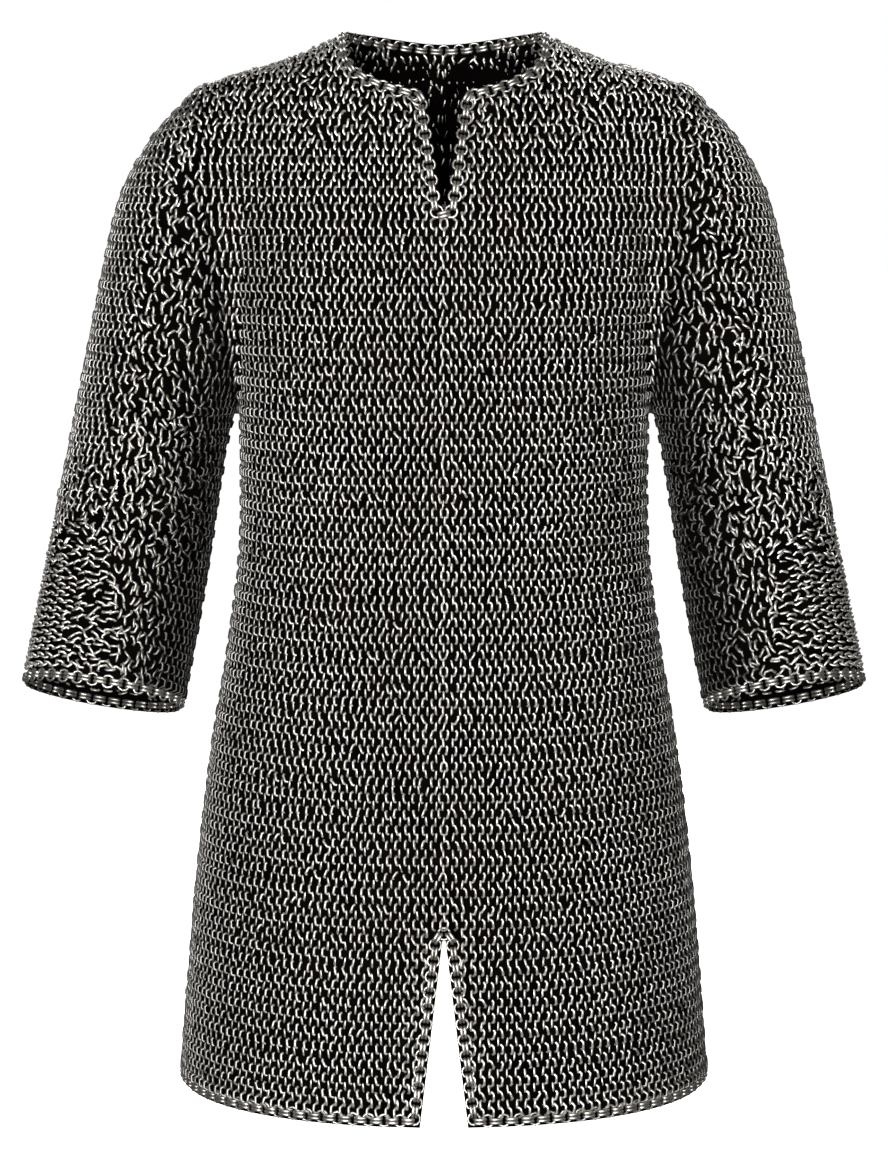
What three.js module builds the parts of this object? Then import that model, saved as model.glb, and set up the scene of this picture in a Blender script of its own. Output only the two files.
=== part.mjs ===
// Chainmail hauberk: a thigh-length mail shirt with three-quarter sleeves, a slit neck, slits in the skirt
// front and back for riding, and a chain of heavier links along every edge. It keeps its worn form, empty.
// Millimetres, +Z up, the front faces -Y and the wearer's left side is +X. The origin lies midway between
// the shoulders at the level of the neck corners, where the wearer's shoulders carry the whole weight.
import * as THREE from "three";

// Driving dimensions
const WALL = 4; // woven mail: two wires and the lean of the rings
const SEAM_GAP = 0.3; // between neighbouring pieces
const HEM_Z = -978; // lower edge of the mail, above the hem chain
const ARMHOLE_TOP = { x: 230, z: -52 }; // shoulder end of the armhole plane
const ARMHOLE_LOW = { x: 195, z: -330 }; // the same plane at armpit level
const NECK_CORNER_X = 99; // half width of the neck opening on the shoulder ridge
const NECK_BACK_Z = -17; // lowest point of the neck edge at the centre back
const NECK_FRONT_POWER = 6; // how soon the neck edge turns up from the slit to the shoulder
const CHAIN = { width: 12.8, wire: 3.2, pitch: 9, slack: 0.6 }; // edging of links, flat and on edge in turn

// Slits, each with a round closed end: half widths at that end and at the open end
const NECK_SLIT = { closedZ: -170, openZ: -62, closedHalf: 16, openHalf: 28.5 };
const SKIRT_SLIT = { closedZ: -806, openZ: HEM_Z, closedHalf: 15, openHalf: 34 };

// Cut of the trunk from neck to hem: half width, depth in front of and behind the side seams, and the power
// of the section's curve, which is an ellipse at 2 and squarer above it.
const TRUNK = [
  { z: 45, halfWidth: 64, front: 42, back: 58, power: 2.0 },
  { z: 0, halfWidth: 93, front: 52, back: 68, power: 2.0 },
  { z: -25, halfWidth: 146, front: 62, back: 78, power: 2.1 },
  { z: -43, halfWidth: 205, front: 70, back: 84, power: 2.2 },
  { z: -60, halfWidth: 230, front: 78, back: 89, power: 2.3 },
  { z: -90, halfWidth: 228, front: 92, back: 96, power: 2.4 },
  { z: -150, halfWidth: 212, front: 113, back: 107, power: 2.4 },
  { z: -240, halfWidth: 197, front: 127, back: 113, power: 2.4 },
  { z: -340, halfWidth: 189, front: 124, back: 108, power: 2.4 },
  { z: -470, halfWidth: 189.5, front: 119, back: 103, power: 2.35 },
  { z: -560, halfWidth: 200.5, front: 125, back: 112, power: 2.3 },
  { z: -680, halfWidth: 220.5, front: 137, back: 130, power: 2.25 },
  { z: -800, halfWidth: 235, front: 149, back: 144, power: 2.2 },
  { z: -1000, halfWidth: 253, front: 168, back: 161, power: 2.15 },
];

// Cut of a sleeve from the shoulder's cap to the cuff: level sections round a line that leaves the body and
// swings forward, as a relaxed arm does.
const SLEEVE = [
  { z: -66, centreX: 222, centreY: 5, halfWidth: 6, halfDepth: 10 },
  { z: -80, centreX: 224, centreY: 5, halfWidth: 27, halfDepth: 42 },
  { z: -100, centreX: 226.5, centreY: 5, halfWidth: 45, halfDepth: 58 },
  { z: -135, centreX: 232, centreY: 5, halfWidth: 61, halfDepth: 70 },
  { z: -175, centreX: 237, centreY: 4, halfWidth: 69.5, halfDepth: 75 },
  { z: -280, centreX: 256, centreY: 0, halfWidth: 73, halfDepth: 77 },
  { z: -356, centreX: 274, centreY: -7, halfWidth: 70, halfDepth: 76 },
  { z: -432, centreX: 287.5, centreY: -20, halfWidth: 71.5, halfDepth: 75 },
  { z: -508, centreX: 300, centreY: -40, halfWidth: 73, halfDepth: 74.5 },
  { z: -650, centreX: 325, centreY: -88, halfWidth: 73.5, halfDepth: 74.5 },
];

// Middle of the mail's lower edge at the cuff, and how far in degrees that edge leans out and forward
const CUFF = { x: 316, y: -72, z: -594, lean: 9.5, forward: 18.5 };
const BLEND = { shoulder: 30, armpit: 18, shoulderZ: -80, armpitZ: -300 }; // rounding of sleeve into trunk

// Fineness of the grids
const COLUMNS = 11; // across each half of a panel
const SLIT_END_STEPS = 4; // round the closed end of a slit
const ARMPIT_ROWS = [26, 12]; // extra level rows just below the armpit, where the side seam turns
const NECK_STEPS = 5; // along the neck edge on each panel
const SHOULDER_SECTIONS = 7; // sleeve sections that fan over the shoulder
const ARM_SECTIONS = 7; // sleeve sections from armpit to cuff
const RAY_STEP = 4;
const RAY_REACH = 600;
const BISECTIONS = 34;

const { clamp, degToRad, lerp, smoothstep } = THREE.MathUtils;
const vec = (x, y, z) => new THREE.Vector3(x, y, z);
const RIGHT_ANGLE = Math.PI / 2;

// A table's columns at height z, by cubic curves through its rows.
function sectionAt(table, z) {
  const last = table.length - 1;
  const height = clamp(z, table[last].z, table[0].z);
  let i = 0;
  while (i < last - 1 && height < table[i + 1].z) i += 1;
  const [top, low] = [table[i], table[i + 1]];
  const span = low.z - top.z;
  const t = (height - top.z) / span;
  const slope = (k, column) => {
    const [above, below] = [table[Math.max(k - 1, 0)], table[Math.min(k + 1, last)]];
    return ((below[column] - above[column]) / (below.z - above.z)) * span;
  };
  const at = (column) =>
    (1 + 2 * t) * (1 - t) ** 2 * top[column] +
    t * (1 - t) ** 2 * slope(i, column) +
    t * t * (3 - 2 * t) * low[column] +
    t * t * (t - 1) * slope(i + 1, column);
  return Object.fromEntries(Object.keys(top).map((column) => [column, at(column)]));
}

// Roughly the distance from the trunk's middle surface, negative inside.
function trunkField(p) {
  const cut = sectionAt(TRUNK, p.z);
  const depth = p.y < 0 ? cut.front : cut.back;
  const reach = Math.abs(p.x / cut.halfWidth) ** cut.power + Math.abs(p.y / depth) ** cut.power;
  return (reach ** (1 / cut.power) - 1) * Math.min(cut.halfWidth, depth);
}

// The same for the sleeves, which mirror each other.
function sleeveField(p) {
  const cut = sectionAt(SLEEVE, p.z);
  const [across, along] = [Math.abs(p.x) - cut.centreX, p.y - cut.centreY];
  const reach = Math.hypot(across / cut.halfWidth, along / cut.halfDepth);
  return (reach - 1) * Math.min(cut.halfWidth, cut.halfDepth) + Math.max(0, p.z - SLEEVE[0].z);
}

// The whole shirt: sleeves run into the trunk with a wide rounding on the shoulder and a tight armpit.
function mailField(p) {
  const [trunk, sleeve] = [trunkField(p), sleeveField(p)];
  const rounding = lerp(BLEND.armpit, BLEND.shoulder, smoothstep(p.z, BLEND.armpitZ, BLEND.shoulderZ));
  const overlap = Math.max(rounding - Math.abs(trunk - sleeve), 0) / rounding;
  return Math.min(trunk, sleeve) - (overlap * overlap * rounding) / 4;
}

// Steepest direction of the field, which is the cloth's outward normal.
function slopeAt(p) {
  const step = 0.5;
  const along = (axis) => {
    const [ahead, behind] = [p.clone(), p.clone()];
    ahead[axis] += step;
    behind[axis] -= step;
    return (mailField(ahead) - mailField(behind)) / (2 * step);
  };
  return vec(along("x"), along("y"), along("z"));
}

const normalAt = (p) => slopeAt(p).normalize();

// Where a ray from inside the shirt first passes through its middle surface.
function onMail(origin, direction) {
  const at = (distance) => origin.clone().addScaledVector(direction, distance);
  let near = 0;
  let far = RAY_STEP;
  while (mailField(at(far)) < 0 && far < RAY_REACH) {
    near = far;
    far += RAY_STEP;
  }
  for (let i = 0; i < BISECTIONS; i += 1) {
    const middle = (near + far) / 2;
    if (mailField(at(middle)) < 0) near = middle;
    else far = middle;
  }
  return at((near + far) / 2);
}

// The nearest point of the middle surface, by a few steps down the field's slope.
function settle(p) {
  const q = p.clone();
  for (let i = 0; i < 6; i += 1) {
    const slope = slopeAt(q);
    q.addScaledVector(slope, -mailField(q) / slope.lengthSq());
  }
  return q;
}

// Armpit: the lowest point of the armhole plane that the cloth crosses.
const ARMHOLE_TILT = (ARMHOLE_TOP.x - ARMHOLE_LOW.x) / (ARMHOLE_TOP.z - ARMHOLE_LOW.z);
const ARMHOLE_MIDDLE = vec((ARMHOLE_TOP.x + ARMHOLE_LOW.x) / 2, 0, (ARMHOLE_TOP.z + ARMHOLE_LOW.z) / 2);
const ARMPIT = onMail(ARMHOLE_MIDDLE, vec(-ARMHOLE_TILT, 0, -1).normalize());

// A slit's half width at a height, round at its closed end.
function slitHalf(slit, z) {
  const length = Math.abs(slit.openZ - slit.closedZ);
  const along = clamp(Math.abs(z - slit.closedZ), 0, length);
  const round = slit.closedHalf;
  if (along < round) return Math.sqrt(round * round - (round - along) ** 2);
  return lerp(slit.closedHalf, slit.openHalf, (along - round) / (length - round));
}

// Heights that follow a slit's round end closely, from the end itself to where its sides run straight.
function slitEndHeights(slit) {
  const way = Math.sign(slit.openZ - slit.closedZ);
  return Array.from({ length: SLIT_END_STEPS + 1 }, (_, i) => {
    const turn = (i / SLIT_END_STEPS) * RIGHT_ANGLE;
    return slit.closedZ + way * slit.closedHalf * (1 - Math.cos(turn));
  });
}

// Evenly spaced numbers strictly between two ends.
const between = (from, to, count) =>
  Array.from({ length: count }, (_, i) => lerp(from, to, (i + 1) / (count + 1)));

// Level rows of the trunk, hem first, the same for front and back so that the side seams match.
const LEVEL_ROWS = [
  HEM_Z,
  ...between(HEM_Z, SKIRT_SLIT.closedZ - SKIRT_SLIT.closedHalf, 4),
  ...slitEndHeights(SKIRT_SLIT).reverse(),
  ...between(SKIRT_SLIT.closedZ, ARMPIT.z, 8),
  ...ARMPIT_ROWS.map((below) => ARMPIT.z - below),
];

// How far out each column lies on a row that runs from 0 to 1 across half a panel.
const COLUMN_SHARES = Array.from({ length: COLUMNS + 1 }, (_, i) => {
  const power = sectionAt(TRUNK, ARMPIT.z).power;
  return Math.sin((i / COLUMNS) * RIGHT_ANGLE) ** (2 / power);
});

// One level row of half a panel, from the middle or the slit's edge to the side seam. side is -1 in front and
// 1 behind.
function levelRow(z, side) {
  const cut = sectionAt(TRUNK, z);
  const seamY = (side * SEAM_GAP) / 2;
  const inner = z <= SKIRT_SLIT.closedZ ? slitHalf(SKIRT_SLIT, z) : 0;
  const depth = side < 0 ? cut.front : cut.back;
  return COLUMN_SHARES.map((share) => {
    const x = lerp(inner, cut.halfWidth, share);
    const fullness = Math.max(0, 1 - (x / cut.halfWidth) ** cut.power) ** (1 / cut.power);
    const origin = vec(0, seamY, z);
    return onMail(origin, vec(x, side * depth * fullness, 0).normalize());
  });
}

// One row of half a panel above the armpits. Such rows lie in planes through the line that joins the armpits
// and turn from level, at angle 0, to upright, on the shoulder ridge. They end on the armhole.
function fanRow(angle, inner, side) {
  const [forth, rise] = [side * Math.cos(angle), Math.sin(angle)];
  const seamY = (side * SEAM_GAP) / 2;
  const armpit = vec(ARMPIT.x - SEAM_GAP / 2, seamY, ARMPIT.z);
  const outer = angle === 0 ? armpit : onMail(armpit, vec(ARMHOLE_TILT * rise, forth, rise).normalize());
  return COLUMN_SHARES.map((share) => {
    if (share === 1) return outer;
    return onMail(vec(lerp(inner, outer.x, share), seamY, ARMPIT.z), vec(0, forth, rise));
  });
}

// Angle of the fan's plane through the middle of a panel at a height.
function fanAngle(z, side) {
  const middle = onMail(vec(0, 0, z), vec(0, side, 0));
  return Math.atan2(z - ARMPIT.z, Math.abs(middle.y));
}

// Rows of half the front above the armpits: below the neck slit, along it, and along the neck edge, which
// rises gently from the slit and then steeply to the shoulder ridge.
function frontFanRows() {
  const startAngle = fanAngle(NECK_SLIT.openZ, -1);
  const plain = between(ARMPIT.z, NECK_SLIT.closedZ, 5).map((z) => [fanAngle(z, -1), 0]);
  const slitHeights = [
    ...slitEndHeights(NECK_SLIT),
    ...between(NECK_SLIT.closedZ + NECK_SLIT.closedHalf, NECK_SLIT.openZ, 3),
    NECK_SLIT.openZ,
  ];
  const slit = slitHeights.map((z) => [fanAngle(z, -1), slitHalf(NECK_SLIT, z)]);
  const edgeShares = between(0, 1, NECK_STEPS).map((share) => share ** 1.5);
  const neck = [...edgeShares, 1].map((share) => [
    lerp(startAngle, RIGHT_ANGLE, share),
    lerp(NECK_SLIT.openHalf, NECK_CORNER_X, 1 - (1 - share) ** NECK_FRONT_POWER),
  ]);
  return [[0, 0], ...plain, ...slit, ...neck].map(([angle, inner]) => fanRow(angle, inner, -1));
}

// Rows of half the back above the armpits, with a neck edge that is a quarter of an oval.
function backFanRows() {
  const startAngle = fanAngle(NECK_BACK_Z, 1);
  const plain = between(0, startAngle, 9).map((angle) => [angle, 0]);
  const edgeShares = between(0, 1, NECK_STEPS).map((share) => 1 - Math.cos(share * RIGHT_ANGLE));
  const neck = [0, ...edgeShares, 1].map((share) => [
    lerp(startAngle, RIGHT_ANGLE, share),
    NECK_CORNER_X * Math.sqrt(1 - (1 - share) ** 2),
  ]);
  return [[0, 0], ...plain, ...neck].map(([angle, inner]) => fanRow(angle, inner, 1));
}

const mirrored = (p) => vec(-p.x, p.y, p.z);

// A closed wall round a sheet: quads of points on the middle surface, moved out and in by half the thickness
// along the cloth's normals, with a rim along every free edge.
class Sheet {
  constructor() {
    this.points = [];
    this.normals = [];
    this.quads = [];
    this.known = new Map();
  }

  // Index of a point, shared by every quad that meets there. Both sides of a seam take the seam's own normal.
  index(p) {
    const key = [p.x, p.y, p.z].map((value) => Math.round(value * 1000)).join();
    if (!this.known.has(key)) {
      this.known.set(key, this.points.length);
      this.points.push(p);
      this.normals.push(normalAt(Math.abs(p.y) < SEAM_GAP ? vec(p.x, 0, p.z) : p));
    }
    return this.known.get(key);
  }

  // Adds a grid of rows, each closed on itself if it is a ring, turned so that it faces out of the shirt.
  addRows(rows, ring = false) {
    const ids = rows.map((row) => row.map((p) => this.index(p)));
    const wide = ids[0].length;
    const quads = [];
    let facing = 0;
    for (let j = 0; j + 1 < ids.length; j += 1) {
      for (let i = 0; i < (ring ? wide : wide - 1); i += 1) {
        const next = (i + 1) % wide;
        const quad = [ids[j][i], ids[j][next], ids[j + 1][next], ids[j + 1][i]];
        const [a, b, c, d] = quad.map((id) => this.points[id]);
        facing += c.clone().sub(a).cross(d.clone().sub(b)).dot(this.normals[quad[0]]);
        quads.push(quad);
      }
    }
    this.quads.push(...(facing > 0 ? quads : quads.map((quad) => quad.reverse())));
    return this;
  }

  // The wall's geometry. Rims split from the outer corner of their higher end, alike on both sides of a seam.
  thicken(thickness) {
    const count = this.points.length;
    const half = thickness / 2;
    const moved = (way) =>
      this.points.flatMap((p, i) => p.clone().addScaledVector(this.normals[i], way * half).toArray());
    const faces = [];
    const split = ([a, b, c, d]) => faces.push(a, b, c, a, c, d);
    const edges = new Map();
    for (const quad of this.quads) {
      split(quad);
      split([...quad].reverse().map((id) => id + count));
      quad.forEach((id, i) => edges.set(`${id},${quad[(i + 1) % 4]}`, [id, quad[(i + 1) % 4]]));
    }
    for (const [from, to] of edges.values()) {
      if (edges.has(`${to},${from}`)) continue;
      const rim = [to, from, from + count, to + count];
      split(this.points[from].z < this.points[to].z ? [...rim.slice(1), rim[0]] : rim);
    }
    return new THREE.BufferGeometry()
      .setAttribute("position", new THREE.Float32BufferAttribute([...moved(1), ...moved(-1)], 3))
      .setIndex(faces);
  }
}

// Half rows of each panel, hem to shoulder, on the +X side.
const FRONT_FAN = frontFanRows();
const BACK_FAN = backFanRows();
const FRONT_HALF = [...LEVEL_ROWS.map((z) => levelRow(z, -1)), ...FRONT_FAN];
const BACK_HALF = [...LEVEL_ROWS.map((z) => levelRow(z, 1)), ...BACK_FAN];

// A panel's wall from its half, whose two mirrored sides share the middle line between the slits.
function panelGeometry(half) {
  return new Sheet()
    .addRows(half)
    .addRows(half.map((row) => row.map(mirrored)))
    .thicken(WALL);
}

// A section of the +X sleeve: points of the cloth at given turns in a plane, from straight out at 0.
const sleeveSection = (middle, outward, forward, turns) =>
  turns.map((turn) => {
    const ray = outward.clone().multiplyScalar(Math.cos(turn)).addScaledVector(forward, Math.sin(turn));
    return onMail(middle, ray.normalize());
  });

// Rings of the +X sleeve from armhole to cuff. The first is the armhole edge of both panels across the seam.
// The next ones fan about the armpit over the shoulder, and the rest follow the arm and turn into the cuff.
function sleeveRings() {
  const outerEdge = (rows) => rows.map((row) => row[COLUMNS]);
  const edge = [...outerEdge(FRONT_FAN).reverse(), ...outerEdge(BACK_FAN).slice(1)];
  const armhole = edge.map((p) => vec(p.x + SEAM_GAP, p.y, p.z));
  const armpitAt = FRONT_FAN.length - 1;
  const evenTurns = edge.map((_, i) =>
    i <= armpitAt
      ? (i / armpitAt) * Math.PI
      : Math.PI * (1 + (i - armpitAt) / (edge.length - armpitAt)),
  );
  const up = vec(ARMHOLE_TILT, 0, 1).normalize();
  const armholeTurns = armhole.map((p) => {
    const arm = p.clone().sub(ARMHOLE_MIDDLE);
    const turn = Math.atan2(-arm.y, arm.dot(up));
    return turn < -1e-6 ? turn + 2 * Math.PI : turn;
  });
  armholeTurns[armpitAt] = Math.PI;
  const turnsAt = (share) => evenTurns.map((turn, i) => lerp(armholeTurns[i], turn, smoothstep(share, 0, 1)));

  const pivot = vec(ARMPIT.x - 1, 0, ARMPIT.z - 14);
  const upAngle = Math.atan2(up.z, up.x);
  const outAngle = degToRad(CUFF.lean);
  const frontwards = vec(0, -1, 0);
  const fan = between(0, 1, SHOULDER_SECTIONS).map((share) => {
    const angle = lerp(upAngle, outAngle, share);
    const outward = vec(Math.cos(angle), 0, Math.sin(angle));
    const reach = lerp(ARMHOLE_TOP.z - ARMHOLE_LOW.z, 2 * 74, smoothstep(share, 0, 0.8)) / 2;
    const middle = pivot.clone().addScaledVector(outward, reach + 14);
    return sleeveSection(middle, outward, frontwards, turnsAt(share));
  });

  const outward = vec(Math.cos(outAngle), 0, Math.sin(outAngle));
  const startZ = ARMPIT.z + 4;
  const arm = Array.from({ length: ARM_SECTIONS + 1 }, (_, i) => {
    const share = i / ARM_SECTIONS;
    const z = lerp(startZ, CUFF.z, share);
    const cut = sectionAt(SLEEVE, z);
    const tilt = degToRad(CUFF.forward) * share;
    const forward = vec(0, -Math.cos(tilt), Math.sin(tilt));
    const middle = share === 1 ? vec(CUFF.x, CUFF.y, CUFF.z) : vec(cut.centreX, cut.centreY, z);
    return sleeveSection(middle, outward, forward, evenTurns);
  });
  return [armhole, ...fan, ...arm];
}

const SLEEVE_RINGS = sleeveRings();

// A sleeve's wall, a tube. side is 1 for +X and -1 for its mirror image.
function sleeveGeometry(side) {
  const rings = side > 0 ? SLEEVE_RINGS : SLEEVE_RINGS.map((ring) => ring.map(mirrored));
  return new Sheet().addRows(rings, true).thicken(WALL);
}

// A line beside an edge of the cloth, moved past that edge by a distance within the surface. outwards says
// on which side of the edge's direction the cloth ends.
function besideEdge(edge, distance, outwards, closed) {
  const count = edge.length;
  const neighbour = (i) => (closed ? edge[(i + count) % count] : edge[clamp(i, 0, count - 1)]);
  return edge.map((p, i) => {
    const normal = normalAt(p);
    const sides = [
      [neighbour(i - 1), p],
      [p, neighbour(i + 1)],
    ]
      .map(([from, to]) => to.clone().sub(from))
      .filter((run) => run.lengthSq() > 1e-6)
      .map((run) => run.cross(normal).multiplyScalar(outwards).normalize());
    const away = sides.reduce((sum, side) => sum.add(side), vec(0, 0, 0)).normalize();
    return settle(p.clone().addScaledVector(away, distance / Math.max(0.6, away.dot(sides[0]))));
  });
}

// An edging chain's outer form along a line: six-sided sections, one for each link, wide where the link lies
// flat on the cloth's surface and tall where it stands on edge.
function chainGeometry(line, closed) {
  const curve = new THREE.CatmullRomCurve3(line, closed, "centripetal");
  const links = 2 * Math.round(curve.getLength() / CHAIN.pitch / 2);
  const places = curve.getSpacedPoints(links);
  if (closed) places.pop();
  const count = places.length;
  const sides = 6;
  const positions = [];
  places.forEach((p, i) => {
    const tangent = curve.getTangentAt(i / links).normalize();
    if (!closed && i % links === 0) tangent.set(Math.sign(tangent.x), 0, 0);
    const across = tangent.clone().cross(normalAt(p)).normalize();
    const out = across.clone().cross(tangent);
    const [wide, tall] = i % 2 ? [CHAIN.wire, CHAIN.width] : [CHAIN.width, CHAIN.wire];
    for (let k = 0; k < sides; k += 1) {
      const turn = (k / sides) * 2 * Math.PI;
      const corner = p.clone().addScaledVector(across, (Math.cos(turn) * wide) / 2);
      positions.push(...corner.addScaledVector(out, (Math.sin(turn) * tall) / 2).toArray());
    }
  });
  const at = (i, k) => (i % count) * sides + (k % sides);
  const faces = [];
  for (let i = 0; i < (closed ? count : count - 1); i += 1) {
    for (let k = 0; k < sides; k += 1) {
      faces.push(at(i, k), at(i + 1, k), at(i + 1, k + 1), at(i, k), at(i + 1, k + 1), at(i, k + 1));
    }
  }
  if (!closed) {
    for (let k = 1; k < sides - 1; k += 1) {
      faces.push(at(0, 0), at(0, k), at(0, k + 1));
      faces.push(at(count - 1, 0), at(count - 1, k + 1), at(count - 1, k));
    }
  }
  return new THREE.BufferGeometry()
    .setAttribute("position", new THREE.Float32BufferAttribute(positions, 3))
    .setIndex(faces);
}

const CHAIN_OFFSET = CHAIN.width / 2 + SEAM_GAP + CHAIN.slack;
const firstPoints = (rows) => rows.map((row) => row[0]);

// The neck chain: from the bottom of the slit up its +X side, over the shoulder, round the back and down
// again.
function neckChainLine() {
  const isNeck = (p) => p.z >= NECK_SLIT.closedZ - 1e-6;
  const front = firstPoints(FRONT_FAN).filter((p) => isNeck(p));
  const back = firstPoints(BACK_FAN).filter((p) => p.z >= NECK_BACK_Z - 1).reverse();
  const half = [...front, ...back.slice(1)];
  const other = half.slice(1, -1).map(mirrored).reverse();
  return besideEdge([...half, ...other], CHAIN_OFFSET, -1, true);
}

// The skirt chain of one side: from the closed end of the front slit down to the hem, round to the back slit
// and up to its closed end.
function skirtChainLine(side) {
  const skirtRows = (half) => half.slice(0, LEVEL_ROWS.indexOf(SKIRT_SLIT.closedZ) + 1);
  const frontHem = FRONT_HALF[0].slice(1);
  const backHem = BACK_HALF[0].slice(1, -1).reverse();
  const edge = [
    ...firstPoints(skirtRows(FRONT_HALF)).reverse(),
    ...frontHem,
    ...backHem,
    ...firstPoints(skirtRows(BACK_HALF)),
  ];
  const line = besideEdge(edge, CHAIN_OFFSET, 1, false);
  for (const end of [line[0], line.at(-1)]) end.x = SEAM_GAP / 2;
  return side > 0 ? line : line.map(mirrored).reverse();
}

// A cuff chain runs round below the sleeve's last ring.
function cuffChainLine(side) {
  const line = besideEdge(SLEEVE_RINGS.at(-1), CHAIN_OFFSET, -1, true);
  return side > 0 ? line : line.map(mirrored).reverse();
}

const mailSteel = new THREE.MeshStandardMaterial({ color: 0x8d8a84, roughness: 0.4, metalness: 1 });
const chainSteel = new THREE.MeshStandardMaterial({ color: 0xa9a59d, roughness: 0.32, metalness: 1 });

const hauberk = new THREE.Group();
function add(name, geometry, material) {
  const mesh = new THREE.Mesh(geometry, material);
  mesh.name = name;
  hauberk.add(mesh);
}

add("front", panelGeometry(FRONT_HALF), mailSteel);
add("back", panelGeometry(BACK_HALF), mailSteel);
add("neck_chain", chainGeometry(neckChainLine(), true), chainSteel);
for (const [side, hand] of [
  [1, "left"],
  [-1, "right"],
]) {
  add(`sleeve_${hand}`, sleeveGeometry(side), mailSteel);
  add(`cuff_chain_${hand}`, chainGeometry(cuffChainLine(side), true), chainSteel);
  add(`skirt_chain_${hand}`, chainGeometry(skirtChainLine(side), false), chainSteel);
}

export default hauberk;
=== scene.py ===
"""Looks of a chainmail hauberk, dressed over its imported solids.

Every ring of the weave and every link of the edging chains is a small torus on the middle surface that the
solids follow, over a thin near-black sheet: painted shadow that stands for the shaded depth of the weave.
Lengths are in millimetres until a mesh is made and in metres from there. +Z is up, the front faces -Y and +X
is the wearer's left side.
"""
import logging
import math
from dataclasses import dataclass, field
from enum import Enum

import bpy
import numpy as np
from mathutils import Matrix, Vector


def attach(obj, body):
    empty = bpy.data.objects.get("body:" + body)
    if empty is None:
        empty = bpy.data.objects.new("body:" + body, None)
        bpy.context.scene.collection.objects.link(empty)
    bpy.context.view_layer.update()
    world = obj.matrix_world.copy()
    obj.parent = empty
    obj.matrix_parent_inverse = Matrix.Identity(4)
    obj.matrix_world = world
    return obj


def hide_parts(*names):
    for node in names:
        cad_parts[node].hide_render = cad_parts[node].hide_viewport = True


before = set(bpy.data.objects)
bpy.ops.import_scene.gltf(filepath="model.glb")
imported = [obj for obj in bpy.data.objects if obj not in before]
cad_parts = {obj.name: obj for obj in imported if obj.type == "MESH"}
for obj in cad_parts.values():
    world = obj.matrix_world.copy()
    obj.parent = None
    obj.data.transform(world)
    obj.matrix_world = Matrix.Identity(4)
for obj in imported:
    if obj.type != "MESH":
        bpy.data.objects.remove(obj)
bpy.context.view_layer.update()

METRES = 0.001
SEED = 41
TINY = 1e-9
MERGE_STEPS = 50  # points of two grids that fall in the same step of so many to the millimetre are one point
SHARPEST_CORNER = 0.6  # cosine of half the sharpest turn of an edge that its chain follows at full distance
Array = np.ndarray
log = logging.getLogger("hauberk")

# Cut of the trunk: height, half width, depth in front, depth behind, power of the section's curve
TRUNK_CUT = (
    (45, 64, 42, 58, 2.0),
    (0, 93, 52, 68, 2.0),
    (-25, 146, 62, 78, 2.1),
    (-43, 205, 70, 84, 2.2),
    (-60, 230, 78, 89, 2.3),
    (-90, 228, 92, 96, 2.4),
    (-150, 212, 113, 107, 2.4),
    (-240, 197, 127, 113, 2.4),
    (-340, 189, 124, 108, 2.4),
    (-470, 189.5, 119, 103, 2.35),
    (-560, 200.5, 125, 112, 2.3),
    (-680, 220.5, 137, 130, 2.25),
    (-800, 235, 149, 144, 2.2),
    (-1000, 253, 168, 161, 2.15),
)

# Cut of a sleeve: height, middle across, middle in depth, half width, half depth
SLEEVE_CUT = (
    (-66, 222, 5, 6, 10),
    (-80, 224, 5, 27, 42),
    (-100, 226.5, 5, 45, 58),
    (-135, 232, 5, 61, 70),
    (-175, 237, 4, 69.5, 75),
    (-280, 256, 0, 73, 77),
    (-356, 274, -7, 70, 76),
    (-432, 287.5, -20, 71.5, 75),
    (-508, 300, -40, 73, 74.5),
    (-650, 325, -88, 73.5, 74.5),
)


class Face(Enum):
    """Front and back of the trunk, by the sign of Y."""

    FRONT = -1
    BACK = 1


class Hand(Enum):
    """The wearer's left and right side, by the sign of X."""

    LEFT = 1
    RIGHT = -1


# Flat width and length, and flat area, of the cut of each panel and of a sleeve, in metres
PANEL_FLATS = {Face.FRONT: ((0.625, 1.02), 0.508), Face.BACK: ((0.62, 1.03), 0.511)}
SLEEVE_FLAT = ((0.72, 0.55), 0.204)


def smooth_step(value: Array, low: float, high: float) -> Array:
    """Cubic ramp from 0 at low to 1 at high.

    Args:
        value: Numbers to place on the ramp.
        low: Where the ramp starts.
        high: Where the ramp ends.

    Returns:
        3t^2 - 2t^3 of the share t of the way from low to high.
    """
    t = np.clip((value - low) / (high - low), 0, 1)
    return t * t * (3 - 2 * t)


def unit(vectors: Array) -> Array:
    """Vectors scaled to length 1."""
    return vectors / np.maximum(np.linalg.norm(vectors, axis=-1, keepdims=True), TINY)


def arc_length(line: Array) -> Array:
    """Distance along a polyline at each of its points, from 0."""
    return np.r_[0.0, np.cumsum(np.linalg.norm(np.diff(line, axis=0), axis=1))]


def along_line(line: Array, length: Array, at: Array) -> Array:
    """Points of a polyline at given distances along it.

    Args:
        line: Points of the polyline.
        length: Distance along the line at each point.
        at: Distances asked for.

    Returns:
        One point for each distance, straight between the line's points.
    """
    return np.stack([np.interp(at, length, line[:, k]) for k in range(3)], axis=-1)


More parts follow.
